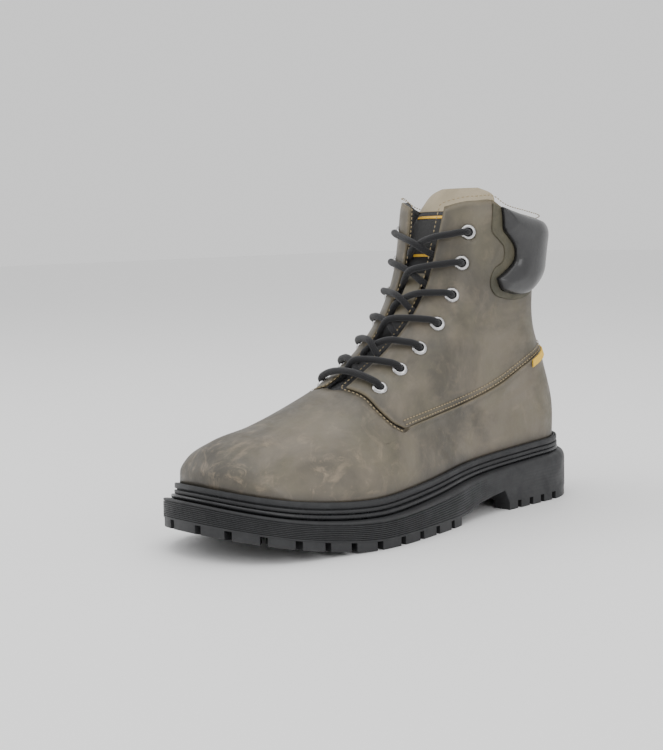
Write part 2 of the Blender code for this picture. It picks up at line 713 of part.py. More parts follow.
def loft(rings, closed_section=False, cap_first=False, cap_last=False):
    """A bmesh through rings of equal length. Caps run across from side to side, as the boards of a ladder."""
    bm = bmesh.new()
    rows = [[bm.verts.new(p) for p in ring] for ring in rings]
    pairs = list(zip(rows, rows[1:]))
    if closed_section:
        pairs.append((rows[-1], rows[0]))
    count = len(rows[0])
    faces = []
    for low, high in pairs:
        faces.append([bm.faces.new((low[i], low[(i + 1) % count], high[(i + 1) % count], high[i])) for i in range(count)])
    half = count // 2
    for row, wanted in ((rows[0], cap_first), (rows[-1], cap_last)):
        if not wanted:
            continue
        for i in range(half):
            ring = [row[i], row[i + 1], row[(count - i - 1) % count], row[(count - i) % count]]
            bm.faces.new(list(dict.fromkeys(ring)))
    return bm, faces


def sole_shares():
    """Stations of the outsole: the notches' two sides, the breast, and a few between."""
    notches = np.concatenate([HEEL_NOTCHES, FORE_NOTCHES])
    half = 0.5 * NOTCH_WIDTH / EDGE.sides[1][3]
    fixed = [0.0, 0.05, 0.10, BREAST_FOOT, BREAST_TOP, 0.340, 0.384, 0.424, FORE_TREAD, 1.0]
    return np.sort(np.concatenate([fixed, notches - half, notches + half]))


def lug_spans(shares):
    """True for each span between stations that carries a lug: not the notches and not the waist."""
    middle = (shares[1:] + shares[:-1]) / 2.0
    notches = np.concatenate([HEEL_NOTCHES, FORE_NOTCHES])
    notched = (np.abs(middle[:, None] - notches[None]) < 1e-6).any(1)
    waist = (middle > BREAST_FOOT) & (middle < FORE_TREAD)
    return ~(notched | waist), middle > FORE_TREAD


def outsole():
    shares = sole_shares()
    reach = between_ends(SOLE_REACH_HEEL, SOLE_REACH_TOE)
    top_drop = WELT_THICKNESS + BEAD_THICKNESS + 2.0 * FIT_GAP
    ribbed = between_ends(0.0, RIB_DEPTH)
    profile = list(SIDE_BELOW)
    heights = np.linspace(RIB_BAND[0], RIB_BAND[1], 2 * RIB_COUNT)
    profile += [(height, None if k % 2 else 0.0, 0.0) for k, height in enumerate(heights)]
    profile += list(SIDE_ABOVE)

    def ring_at(height, inset_toe, inset_heel):
        inset = ribbed if inset_toe is None else between_ends(inset_heel, inset_toe)
        top = level(top_drop)
        return EDGE.ring(
            shares,
            lambda s: reach(s) - inset(s),
            lambda s, along: tread_top(s, along) * (1.0 - height) + top(s, along) * height,
        )

    inwards = (LUG_LENGTH + GROOVE_WIDTH + INNER_BLOCK, LUG_LENGTH + GROOVE_WIDTH, LUG_LENGTH)
    rings = [EDGE.ring(shares, lambda s, d=depth: reach(s) - d, tread_top) for depth in inwards]
    rings += [ring_at(*row) for row in profile]
    bm, faces = loft(rings, cap_first=True, cap_last=True)
    lugged, fore = lug_spans(shares)
    outer = np.concatenate([lugged, lugged[::-1]])
    inner = np.concatenate([lugged & fore, (lugged & fore)[::-1]])
    lugs = [face for face, lug in zip(faces[2], outer) if lug]
    lugs += [face for face, lug in zip(faces[0], inner) if lug]
    moved = bmesh.ops.extrude_face_region(bm, geom=lugs)["geom"]
    bmesh.ops.delete(bm, geom=[face for face in lugs if face.is_valid], context="FACES")
    bmesh.ops.translate(bm, verts=[v for v in moved if isinstance(v, bmesh.types.BMVert)], vec=(0, 0, -TREAD_DEPTH))
    return add_mesh("outsole", bm, RUBBER)


def slab_shares(count=34):
    return (1.0 - np.cos(np.linspace(0.0, math.pi, count + 1))) / 2.0 * 0.35 + np.linspace(0.0, 1.0, count + 1) * 0.65


def midsole():
    shares = slab_shares()
    top, low = WELT_THICKNESS + FIT_GAP, WELT_THICKNESS + FIT_GAP + BEAD_THICKNESS
    reach = between_ends(SOLE_REACH_HEEL - 0.0046, BEAD_REACH)
    rings = [
        EDGE.ring(shares, lambda s: reach(s) - 0.0006, level(low)),
        EDGE.ring(shares, reach, level(low - 0.30 * BEAD_THICKNESS)),
        EDGE.ring(shares, reach, level(low - 0.65 * BEAD_THICKNESS)),
        EDGE.ring(shares, lambda s: reach(s) - 0.0011, level(top)),
        EDGE.ring(shares, lambda s: 0.0 * s - WELT_SEAT - FIT_GAP, level(top)),
        EDGE.ring(shares, lambda s: 0.0 * s - WELT_SEAT - FIT_GAP, level(0.0)),
    ]
    bm, _ = loft(rings, cap_first=True, cap_last=True)
    return add_mesh("midsole", bm, GLOSS_RUBBER)


def welt():
    shares = slab_shares()
    widen = WELT_REACH / WELT_SECTION[-1][0]
    rings = [EDGE.ring(shares, lambda s: 0.0 * s - WELT_SEAT, level(0.0))]
    for reach, height in WELT_SECTION:
        rings.append(EDGE.ring(shares, lambda s, r=reach: 0.0 * s + r * widen, level(-height * WELT_THICKNESS)))
    rings.append(EDGE.ring(shares, lambda s: 0.0 * s - WELT_SEAT, level(WELT_THICKNESS)))
    bm, _ = loft(rings, closed_section=True)
    return add_mesh("welt", bm, RUBBER)


def insole():
    shares = slab_shares(28)
    inset = WALL + 2.0 * FACET_GAP
    rings = [
        EDGE.ring(shares, lambda s: 0.0 * s - inset, level(-FIT_GAP)),
        EDGE.ring(shares, lambda s: 0.0 * s - inset, level(-FIT_GAP - INSOLE_THICKNESS)),
    ]
    bm, _ = loft(rings, cap_first=True, cap_last=True)
    return add_mesh("insole", bm, INNER)


def upper():
    """One hollow wall: the lower panel and vamp at full thickness, the shaft thinner under its panel."""
    grids = both_sides(lower_flat(), ridge=True) + both_sides(shaft_flat())
    normals = shared_normals(grids)
    for normal in normals[:2]:
        normal[0, :, 2] = 0.0
        normal[0] /= np.linalg.norm(normal[0], axis=1)[:, None]
    lower = np.zeros(grids[0].shape[:2])
    lower[-1, :SEAM_STEPS] = SEAM_RISE
    lower[-1, SEAM_STEPS - 1] = -0.4 * UNDER
    lower[-1, SEAM_STEPS:] = -UNDER
    lower[-2, SEAM_STEPS:] = -0.15 * UNDER
    outer = [lower, lower, -UNDER, -UNDER]
    bm = wall_of(grids, normals, outer, [-WALL] * 4)
    piece = add_mesh("upper", bm, LEATHER_LOOK)
    cut(piece, EYELET_HOLES)
    return piece


def quarters():
    """The shaft panel in one piece round the back, laid on the upper, with its two free flaps in front."""
    flat = shaft_flat()
    step = flat[1] - flat[0]
    step /= np.linalg.norm(step, axis=1)[:, None]
    flat[0] += step * 1.5 * FIT_GAP
    grids = both_sides(flat)
    bm = wall_of(grids, shared_normals(grids), [0.0, 0.0], [-LEATHER, -LEATHER])
    piece = add_mesh("quarters", bm, LEATHER_LOOK)
    cut(piece, EYELET_HOLES)
    return piece


def collar_pad():
    """The padded crescent: fullest at the middle of its height, thin along its sewn edge."""
    front = smooth_path(flatten(share_points(COLLAR_FRONT)), COLLAR_STEPS)
    foot = share_points(COLLAR_FOOT)
    foot[0, 0] = back_at(foot[:1, 1])[0][0]
    low = smooth_path(flatten(foot), COLLAR_STEPS)
    top = share_points(TOP_LINE)[::-1][:4]
    top[:, 1] -= FACET_GAP
    top[0, 0] = back_at(top[:1, 1])[0][0]
    high = smooth_path(flatten(top), COLLAR_STEPS)
    back = back_edge(foot[0, 1], top[0, 1], COLLAR_STEPS)
    low[0], low[-1], high[0], high[-1] = back[0], front[0], back[-1], front[-1]
    grids = both_sides(coons(low, high, back, front))
    v = np.linspace(0.0, 1.0, COLLAR_STEPS + 1)[:, None]
    u = np.linspace(0.0, 1.0, COLLAR_STEPS + 1)[None, :]
    swell = np.sin(math.pi * v) ** 0.6 * (1.0 - u**3)
    outer = FACET_GAP + PATCH_THICKNESS + COLLAR_PUFF * np.clip(swell, 0.0, 1.0)
    bm = wall_of(grids, shared_normals(grids), [outer, outer], [FACET_GAP, FACET_GAP])
    return add_mesh("collar_pad", bm, PAD)


def front_patch(runs, halves, columns, outer, inner):
    """A wall laid over the front of the last: rows up the profile, columns from side to side."""
    share = np.linspace(-1.0, 1.0, columns + 1)[None, :]
    run = np.broadcast_to(runs[:, None], (len(runs), columns + 1))
    across = halves[:, None] * share
    return wall_of([lean_back(front_sheet(run, across))], [front_normal(run, across)], [outer], [inner])


def lean_back(sheet):
    """The sheet with its top moved back into the boot."""
    rise = np.clip((sheet[..., 2] / BOOT_HEIGHT - TONGUE_BEND) / (TONGUE["up"][-1] - TONGUE_BEND), 0.0, None)
    moved = sheet.copy()
    moved[..., 1] -= TONGUE_LEAN * rise**1.5
    return moved


def tongue():
    ups = np.array(TONGUE["up"]) * BOOT_HEIGHT
    runs = run_at(ups)
    even = np.concatenate([np.linspace(runs[0], runs[-3], TONGUE_ROWS - 1), runs[-2:]])
    halves = hermite(even, runs, np.array(TONGUE["half"]) * BALL_WIDTH)
    bm = front_patch(even, halves, TONGUE_COLUMNS, -TONGUE_LEVEL, -TONGUE_LEVEL - TONGUE_THICKNESS)
    return add_mesh("tongue", bm, LINING_LOOK)


def tongue_patch(name, low, high, across, half, material):
    """A thin flat patch lying on the tongue's face."""
    runs = np.linspace(run_at(low * BOOT_HEIGHT), run_at(high * BOOT_HEIGHT), 5)
    run = np.broadcast_to(runs[:, None], (5, 5))
    spread = np.broadcast_to(np.linspace(across - half, across + half, 5)[None, :], (5, 5))
    low_level = -TONGUE_LEVEL + 0.5 * FACET_GAP
    sheet = lean_back(front_sheet(run, spread))
    bm = wall_of([sheet], [front_normal(run, spread)], [low_level + PATCH_THICKNESS], [low_level])
    return add_mesh(name, bm, material)


def side_tab():
    """A small folded tab sewn into the seam near the heel, on the lateral side."""
    seam = seam_flat()
    edge = smooth_path(seam[2:6], 4)
    grid = np.stack([edge - (0.0, TAB_DEPTH), edge - (0.0, TAB_DEPTH / 2.0), edge])
    grids = [roll_up(grid, 1)]
    level_up = SEAM_RISE + FIT_GAP
    normals = shared_normals(grids)
    bm = wall_of(grids, normals, [level_up + PATCH_THICKNESS], [level_up])
    return add_mesh("side_tab", bm, WEBBING)


def eyelet_runs():
    """Distances along the front profile of the eyelets, from the lowest up."""
    low, high = run_at(np.array(EYELET_SPAN) * BOOT_HEIGHT)
    return np.linspace(low, high, EYELET_COUNT)


def eyelet_places():
    """(name, point, normal) of each eyelet's centre on the quarters' face."""
    places = []
    runs = eyelet_runs()
    ups = np.interp(runs, FRONT_RUN, FRONT[:, 1])
    across = throat_half(ups) + EYELET_FROM_EDGE
    for side, name in ((1, "lateral"), (-1, "medial")):
        points = front_sheet(runs, side * across)
        normals = front_normal(runs, side * across)
        for k in range(EYELET_COUNT):
            places.append((f"eyelet_{name}_{k + 1}", points[k], normals[k]))
    return places


def eyelet_holes():
    """One cutter of all the holes, longer than the wall."""
    bm = bmesh.new()
    for _, point, normal in EYELETS:
        way = ORIGIN.to_world(point + normal) - ORIGIN.to_world(point)
        turn = way.to_track_quat("Z", "Y").to_matrix().to_4x4()
        turn.translation = ORIGIN.to_world(point)
        bmesh.ops.create_cone(
            bm, cap_ends=True, segments=12, radius1=HOLE_RADIUS, radius2=HOLE_RADIUS,
            depth=6.0 * WALL, matrix=turn,
        )
    mesh = bpy.data.meshes.new("eyelet_holes")
    bm.to_mesh(mesh)
    bm.free()
    cutter = bpy.data.objects.new("eyelet_holes", mesh)
    cutter.hide_render = True
    cutter.display_type = "WIRE"
    CUTTERS.objects.link(cutter)
    return cutter


def cut(piece, cutter, operation="DIFFERENCE"):
    modifier = piece.modifiers.new(cutter.name, "BOOLEAN")
    modifier.object = cutter
    modifier.operation = operation
    modifier.solver = "EXACT"


def eyelet_mesh():
    """Section of an eyelet: a flange over the leather and a barrel through it, turned about Z."""
    seat = FIT_GAP
    foot = -WALL
    section = [
        (EYELET_BORE + 0.0004, seat + EYELET_RISE),
        (EYELET_OUTER - 0.0006, seat + 0.8 * EYELET_RISE),
        (EYELET_OUTER, seat),
        (EYELET_BARREL, seat),
        (EYELET_BARREL, foot),
        (EYELET_BORE, foot),
        (EYELET_BORE, seat + 0.4 * EYELET_RISE),
    ]
    mesh = bpy.data.meshes.new("eyelet")
    count = len(section)
    mesh.from_pydata([(r, 0.0, z) for r, z in section], [(k, (k + 1) % count) for k in range(count)], [])
    mesh.materials.append(METAL)
    return mesh


def eyelets():
    mesh = eyelet_mesh()
    for name, point, normal in EYELETS:
        piece = bpy.data.objects.new(name, mesh)
        way = ORIGIN.to_world(point + normal) - ORIGIN.to_world(point)
        piece.location = ORIGIN.to_world(point)
        piece.rotation_mode = "QUATERNION"
        piece.rotation_quaternion = way.to_track_quat("Z", "Y")
        turned = piece.modifiers.new("turned", "SCREW")
        turned.steps = turned.render_steps = 12
        turned.use_merge_vertices = True
        turned.merge_threshold = 0.00001
        turned.use_smooth_shade = True
        BOOT.objects.link(piece)


def lace_tube(name, path):
    """A round lace along a smooth path, as a closed mesh."""
    curve = bpy.data.curves.new(name, "CURVE")
    curve.dimensions = "3D"
    curve.bevel_depth = LACE_DIAMETER / 2.0
    curve.bevel_resolution = 2
    curve.use_fill_caps = True
    spline = curve.splines.new("POLY")
    spline.points.add(len(path) - 1)
    for spot, place in zip(spline.points, path):
        spot.co = (*ORIGIN.to_world(place), 1.0)
    guide = bpy.data.objects.new(name + "_guide", curve)
    CUTTERS.objects.link(guide)
    bpy.context.view_layer.update()
    mesh = bpy.data.meshes.new_from_object(guide.evaluated_get(bpy.context.evaluated_depsgraph_get()))
    bpy.data.objects.remove(guide)
    bm = bmesh.new()
    bm.from_mesh(mesh)
    bmesh.ops.remove_doubles(bm, verts=bm.verts, dist=WELD)
    bmesh.ops.recalc_face_normals(bm, faces=bm.faces)
    bm.to_mesh(mesh)
    bm.free()
    mesh.materials.clear()
    mesh.materials.append(CORD)
    mesh.shade_smooth()
    return bpy.data.objects.new(name, mesh)


def laces():
    """A bar over the lowest eyelets, and a crossing between each pair of rows."""
    runs = eyelet_runs()
    ups = np.interp(runs, FRONT_RUN, FRONT[:, 1])
    gap = throat_half(ups)
    eyelet = gap + EYELET_FROM_EDGE
    lift = LACE_DIAMETER / 2.0 + FACET_GAP
    clear = EYELET_OUTER + LACE_DIAMETER / 2.0 + FACET_GAP

    def path(stops, count):
        stops = np.array(stops)
        spots = front_sheet(stops[:, 0], stops[:, 1]) + front_normal(stops[:, 0], stops[:, 1]) * stops[:, 2:]
        return smooth_path(spots, count)

    end = eyelet[0] - clear
    stops = [(runs[0], -end, lift), (runs[0], -0.5 * end, 1.3 * lift), (runs[0], 0.5 * end, 1.3 * lift), (runs[0], end, lift)]
    BOOT.objects.link(lace_tube("lace_bar", path(stops, 8)))
    under = -WALL + lift
    for k in range(EYELET_COUNT - 1):
        low, high = runs[k], runs[k + 1]
        start = gap[k] - LACE_DIAMETER
        end = eyelet[k + 1] - clear
        middle = 0.5 * (low + high)
        strands = []
        for side in (1, -1):
            stops = [
                (low + 0.20 * (high - low), side * start, under),
                (middle, 0.0, lift),
                (low + 0.75 * (high - low), -side * gap[k + 1], 1.25 * lift),
                (high - 0.10 * (high - low), -side * end, lift),
            ]
            strands.append(lace_tube(f"lace_cross_{k + 1}" + ("" if side > 0 else "_other"), path(stops, 9)))
        first, other = strands
        BOOT.objects.link(first)
        CUTTERS.objects.link(other)
        other.hide_render = True
        other.display_type = "WIRE"
        cut(first, other, "UNION")


def material(name, colour, roughness, metallic=0.0):
    made = bpy.data.materials.new(name)
    made.use_nodes = True
    shader = made.node_tree.nodes["Principled BSDF"]
    shader.inputs["Base Color"].default_value = (*colour, 1.0)
    shader.inputs["Roughness"].default_value = roughness
    shader.inputs["Metallic"].default_value = metallic
    return made


def collection(name):
    made = bpy.data.collections.new(name)
    bpy.context.scene.collection.children.link(made)
    return made


def boot_origin():
    """The middle of the outsole's plan, on the last's axes."""
    shares = np.linspace(0.0, 1.0, 300)
    outline = EDGE.ring(shares, between_ends(SOLE_REACH_HEEL, SOLE_REACH_TOE), level(0.0))
    middle = (outline.min(0) + outline.max(0)) / 2.0
    return Origin(middle[0], middle[1])


for old in list(bpy.data.objects):
    bpy.data.objects.remove(old)

BOOT = collection("lace_up_boot")
CUTTERS = collection("cutters")
LEATHER_LOOK = material("waxed_leather", (0.19, 0.165, 0.13), 0.50)
RUBBER = material("black_rubber", (0.030, 0.031, 0.034), 0.55)
GLOSS_RUBBER = material("polished_rubber", (0.035, 0.036, 0.040), 0.30)
PAD = material("collar_leather", (0.020, 0.020, 0.022), 0.35)
LINING_LOOK = material("lining", (0.030, 0.030, 0.032), 0.85)
INNER = material("insole_board", (0.12, 0.10, 0.08), 0.90)
WEBBING = material("woven_tab", (0.75, 0.47, 0.06), 0.80)
METAL = material("nickel", (0.55, 0.55, 0.56), 0.25, 1.0)
CORD = material("lace_cord", (0.020, 0.020, 0.022), 0.80)
LABEL = material("woven_label", (0.05, 0.05, 0.055), 0.80)

EDGE = Edge()
ORIGIN = boot_origin()
EYELETS = eyelet_places()
EYELET_HOLES = eyelet_holes()

outsole()
midsole()
welt()
insole()
upper()
quarters()
collar_pad()
tongue()
tongue_patch("tongue_label", 0.83, 0.97, 0.0, 0.017, LABEL)
tongue_patch("lace_keeper", 0.64, 0.78, 0.0, 0.0045, LEATHER_LOOK)
side_tab()
eyelets()
laces()
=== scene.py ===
# Left lace-up work boot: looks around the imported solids
import math

import bmesh
import bpy
import numpy as np
from mathutils import Matrix, Vector


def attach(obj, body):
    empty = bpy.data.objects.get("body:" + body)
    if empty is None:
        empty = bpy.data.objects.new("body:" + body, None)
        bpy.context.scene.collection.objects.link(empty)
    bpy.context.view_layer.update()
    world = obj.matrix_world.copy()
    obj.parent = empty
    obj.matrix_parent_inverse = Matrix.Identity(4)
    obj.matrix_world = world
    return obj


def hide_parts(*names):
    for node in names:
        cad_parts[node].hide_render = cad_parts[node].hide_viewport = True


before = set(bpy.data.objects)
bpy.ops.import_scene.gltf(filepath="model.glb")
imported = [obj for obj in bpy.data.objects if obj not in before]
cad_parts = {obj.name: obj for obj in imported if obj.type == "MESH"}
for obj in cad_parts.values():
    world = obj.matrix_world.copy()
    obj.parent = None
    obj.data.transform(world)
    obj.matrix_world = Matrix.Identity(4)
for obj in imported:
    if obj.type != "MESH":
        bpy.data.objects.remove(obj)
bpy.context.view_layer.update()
print("stage: frame loaded")

# The last, as the solids have it: metres and shares of its length, ball width and height
last = {
    "length": 0.280, "ball": 0.100, "height": 0.194,
    "heelSeat": 0.0395, "ballSeat": 0.0265, "toeSeat": 0.0385, "fullness": 2.2,
    "stations": (-0.02, 0.18, 0.36, 0.54, 0.71, 0.89, 1.02),
    "lateral": (
        (0.15, 0.330, 0.340, 0.360, 0.475, 0.550, 0.480, 0.450),
        (0.31, 0.340, 0.360, 0.370, 0.430, 0.500, 0.460, 0.430),
        (0.46, 0.330, 0.360, 0.360, 0.380, 0.450, 0.440, 0.400),
        (0.62, 0.310, 0.340, 0.340, 0.335, 0.380, 0.380, 0.360),
        (0.77, 0.320, 0.360, 0.350, 0.340, 0.360, 0.360, 0.360),
        (0.95, 0.340, 0.380, 0.380, 0.370, 0.380, 0.380, 0.380),
    ),
    "medial": (
        (0.15, 0.310, 0.320, 0.320, 0.395, 0.440, 0.400, 0.400),
        (0.31, 0.330, 0.350, 0.350, 0.385, 0.430, 0.400, 0.390),
        (0.46, 0.320, 0.350, 0.350, 0.360, 0.400, 0.390, 0.370),
        (0.62, 0.310, 0.340, 0.340, 0.330, 0.360, 0.360, 0.340),
        (0.77, 0.320, 0.360, 0.350, 0.340, 0.350, 0.350, 0.340),
        (0.95, 0.340, 0.380, 0.380, 0.370, 0.370, 0.370, 0.360),
    ),
    "centreAlong": (-0.10, 0.00, 0.50, 0.68, 0.86, 1.02, 1.10),
    "centreAcross": (0.0, 0.0, -0.015, -0.045, -0.075, -0.085, -0.090),
    "twist": 0.065, "twistStart": 0.45, "throatAlong": 0.38,
    # along, up, roll of the edge
    "front": (
        (1.010, -0.115, 0.44), (1.012, 0.000, 0.44), (1.008, 0.062, 0.44), (0.984, 0.115, 0.44),
        (0.930, 0.155, 0.43), (0.832, 0.190, 0.42), (0.722, 0.252, 0.41), (0.620, 0.332, 0.38),
        (0.527, 0.450, 0.33), (0.457, 0.590, 0.30), (0.419, 0.722, 0.29), (0.402, 0.846, 0.29),
        (0.392, 0.965, 0.30), (0.384, 1.130, 0.31),
    ),
    # up, along, roll
    "back": (
        (-0.15, 0.000, 0.33), (0.00, 0.000, 0.33), (0.15, 0.003, 0.34), (0.31, 0.033, 0.33),
        (0.47, 0.070, 0.31), (0.64, 0.082, 0.29), (0.80, 0.077, 0.29), (0.96, 0.064, 0.29), (1.10, 0.055, 0.29),
    ),
    # height of the upper's foot: along, then the share of each seat
    "seatAlong": (-0.05, 0.00, 0.15, 0.40, 0.60, 0.72, 0.88, 1.01, 1.06),
    "seatHeel": (1.02, 1.00, 0.96, 0.50, 0.10, 0.00, 0.00, 0.00, 0.00),
    "seatBall": (0.00, 0.00, 0.00, 0.52, 0.92, 1.00, 0.68, 0.00, 0.00),
    "seatToe": (0.00, 0.00, 0.00, 0.00, 0.00, 0.00, 0.32, 1.00, 1.12),
}
mm = 0.001
quarterTurn = math.pi / 2


# Curves through values
def smooth(x, knots, values):
    x, knots, values = (np.asarray(a, float) for a in (x, knots, values))
    step = np.diff(knots)
    rate = np.diff(values) / step
    slope = np.empty(len(knots))
    slope[0], slope[-1] = rate[0], rate[-1]
    slope[1:-1] = (rate[:-1] * step[1:] + rate[1:] * step[:-1]) / (step[:-1] + step[1:])
    i = np.clip(np.searchsorted(knots, x, side="right") - 1, 0, len(knots) - 2)
    t = np.clip((x - knots[i]) / step[i], 0, 1)
    rise = t * t * (3 - 2 * t)
    bends = t * (1 - t) ** 2 * slope[i] + t * t * (t - 1) * slope[i + 1]
    return values[i] * (1 - rise) + values[i + 1] * rise + step[i] * bends


def smoothRows(x, knots, rows):
    x, knots = np.asarray(x, float), np.asarray(knots, float)
    step = np.diff(knots)[:, None]
    rate = np.diff(rows, axis=0) / step
    slope = np.empty_like(rows)
    slope[0], slope[-1] = rate[0], rate[-1]
    slope[1:-1] = (rate[:-1] * step[1:] + rate[1:] * step[:-1]) / (step[:-1] + step[1:])
    i = np.clip(np.searchsorted(knots, x, side="right") - 1, 0, len(knots) - 2)
    t = np.clip((x - knots[i]) / step[i, 0], 0, 1)
    rise = t * t * (3 - 2 * t)
    col = np.arange(len(x))
    bends = t * (1 - t) ** 2 * slope[i, col] + t * t * (t - 1) * slope[i + 1, col]
    return rows[i, col] * (1 - rise) + rows[i + 1, col] * rise + step[i, 0] * bends


def lengths(line):
    return np.concatenate([[0.0], np.cumsum(np.linalg.norm(np.diff(line, axis=0), axis=1))])


def evenly(line, count):
    run = lengths(line)
    at = np.linspace(0, run[-1], count + 1)
    return np.stack([np.interp(at, run, column) for column in line.T], axis=1)


def smoothPath(points, count):
    points = np.asarray(points, float)
    run = lengths(points)
    fine = np.linspace(0, run[-1], 40 * len(points))
    return evenly(np.stack([smooth(fine, run, column) for column in points.T], axis=1), count)


def softStep(x, low, high):
    t = np.clip((np.asarray(x, float) - low) / (high - low), 0, 1)
    return t * t * (3 - 2 * t)


# The last's surface
frontKnots = np.array(last["front"]) * (last["length"], last["height"] - last["toeSeat"], last["ball"])
frontKnots[:, 1] += last["toeSeat"]
frontChord = lengths(frontKnots[:, :2])
frontLine = np.stack([smooth(np.linspace(0, frontChord[-1], 300), frontChord, c) for c in frontKnots.T], axis=1)
frontRun = lengths(frontLine[:, :2])


def backAt(up):
    rows = np.array(last["back"])
    heights = last["heelSeat"] + rows[:, 0] * (last["height"] - last["heelSeat"])
    return smooth(up, heights, rows[:, 1] * last["length"]), smooth(up, heights, rows[:, 2] * last["ball"])


def nearestFront(place):
    start = frontLine[:-1, :2]
    edge = frontLine[1:, :2] - start
    foot, inward = np.empty_like(place), np.empty_like(place)
    depth, roll = np.empty(len(place)), np.empty(len(place))
    for first in range(0, len(place), 4000):
        part = slice(first, first + 4000)
        point = place[part]
        share = np.clip(((point[:, None] - start) * edge).sum(2) / (edge**2).sum(1), 0, 1)
        spots = start + edge * share[..., None]
        away = np.linalg.norm(point[:, None] - spots, axis=2)
        best = away.argmin(1)
        row = np.arange(len(point))
        spot = spots[row, best]
        way = np.stack([-edge[best, 1], edge[best, 0]], axis=1)
        way /= np.linalg.norm(way, axis=1)[:, None]
        offset = point - spot
        far = away[row, best] * np.where((offset * way).sum(1) < 0, -1.0, 1.0)
        clear = np.abs(far) > 1e-7
        way[clear] = offset[clear] / far[clear, None]
        t = share[row, best]
        foot[part], inward[part], depth[part] = spot, way, far
        roll[part] = frontLine[best, 2] * (1 - t) + frontLine[best + 1, 2] * t
    return foot, inward, depth, roll


def rounded(share):
    return (1 - (1 - np.clip(share, 0, 1)) ** last["fullness"]) ** (1 / last["fullness"])


def centreAt(along, up):
    stations = np.array(last["centreAlong"]) * last["length"]
    rise = np.clip((up / last["height"] - last["twistStart"]) / (1 - last["twistStart"]), 0, None)
    ahead = np.clip(along / (last["throatAlong"] * last["length"]), 0, 1)
    line = smooth(along, stations, np.array(last["centreAcross"]) * last["ball"])
    return line + last["twist"] * last["ball"] * rise * ahead


def onLast(along, up, side):
    rows = np.array(last["lateral"] if side > 0 else last["medial"])
    stations = np.array(last["stations"]) * last["length"]
    bands = np.stack([smooth(along, stations, row[1:] * last["ball"]) for row in rows])
    half = smoothRows(up, rows[:, 0] * last["height"], bands)
    _, _, depth, roll = nearestFront(np.stack([along, up], axis=1))
    back, backRoll = backAt(up)
    half = half * rounded(depth / roll) * rounded((along - back) / backRoll)
    return np.stack([centreAt(along, up) + side * half, along, up], axis=1)


def spreadOf(depth, roll):
    turn = np.arccos(np.clip(1 - depth / roll, -1, 1))
    return np.where(depth < roll, roll * (1 - quarterTurn + turn), depth)


def depthOf(spread, roll):
    turn = np.clip(quarterTurn - 1 + spread / roll, 0, quarterTurn)
    return np.where(spread < roll, roll * (1 - np.cos(turn)), spread)


# Between the side view and the flat pattern that the panels are drawn on
def flatten(places):
    places = np.asarray(places, float)
    foot, inward, depth, roll = nearestFront(places)
    flat = np.where((depth < roll)[:, None], foot + inward * spreadOf(depth, roll)[:, None], places)
    back, backRoll = backAt(flat[:, 1])
    depth = flat[:, 0] - back
    flat[:, 0] = np.where(depth < backRoll, back + spreadOf(depth, backRoll), flat[:, 0])
    return flat


def rollUp(flat, side):
    flat = np.array(flat, float)
    shape = flat.shape[:-1]
    flat = flat.reshape(-1, 2)
    back, backRoll = backAt(flat[:, 1])
    spread = flat[:, 0] - back
    flat[:, 0] = np.where(spread < backRoll, back + depthOf(spread, backRoll), flat[:, 0])
    foot, inward, spread, roll = nearestFront(flat)
    flat = np.where((spread < roll)[:, None], foot + inward * depthOf(spread, roll)[:, None], flat)
    return onLast(flat[:, 0], flat[:, 1], side).reshape(*shape, 3)


def outOf(flat, side):
    # way out of the last, from small steps on the pattern
    step = 0.4 * mm
    flat = np.asarray(flat, float)
    ahead = rollUp(flat + (step, 0), side) - rollUp(flat - (step, 0), side)
    above = rollUp(flat + (0, step), side) - rollUp(flat - (0, step), side)
    way = np.cross(ahead, above) * side
    size = np.linalg.norm(way, axis=-1, keepdims=True)
    return way / np.maximum(size, 1e-12)


def seatAt(along):
    stations = np.array(last["seatAlong"]) * last["length"]
    seats = (("seatHeel", "heelSeat"), ("seatBall", "ballSeat"), ("seatToe", "toeSeat"))
    return sum(smooth(along, stations, last[share]) * last[seat] for share, seat in seats)


def runAt(up):
    return np.interp(up, frontLine[:, 1], frontRun)


def frontFrame(run):
    place = np.stack([np.interp(run, frontRun, frontLine[:, k]) for k in range(3)], axis=-1)
    ahead = np.stack([np.interp(run + mm, frontRun, frontLine[:, k]) for k in range(2)], axis=-1)
    behind = np.stack([np.interp(run - mm, frontRun, frontLine[:, k]) for k in range(2)], axis=-1)
    way = ahead - behind
    way /= np.linalg.norm(way, axis=-1, keepdims=True)
    return place, np.stack([-way[..., 1], way[..., 0]], axis=-1)


def frontSheet(run, across):
    run, across = np.broadcast_arrays(np.asarray(run, float), np.asarray(across, float))
    shape = run.shape
    run, across = run.ravel(), across.ravel()
    place, inward = frontFrame(run)
    roll = place[:, 2]
    spot = place[:, :2] + inward * depthOf(roll * (1 - quarterTurn) + np.abs(across), roll)[:, None]
    sides = [onLast(spot[:, 0], spot[:, 1], side) for side in (1, -1)]
    return np.where((across >= 0)[:, None], *sides).reshape(*shape, 3)


def frontOut(run, across):
    step = 0.5 * mm
    upWay = frontSheet(run + step, across) - frontSheet(run - step, across)
    outWay = frontSheet(run, across + step) - frontSheet(run, across - step)
    way = np.cross(upWay, outWay)
    return way / np.linalg.norm(way, axis=-1, keepdims=True)

print("stage: last's surface ready")

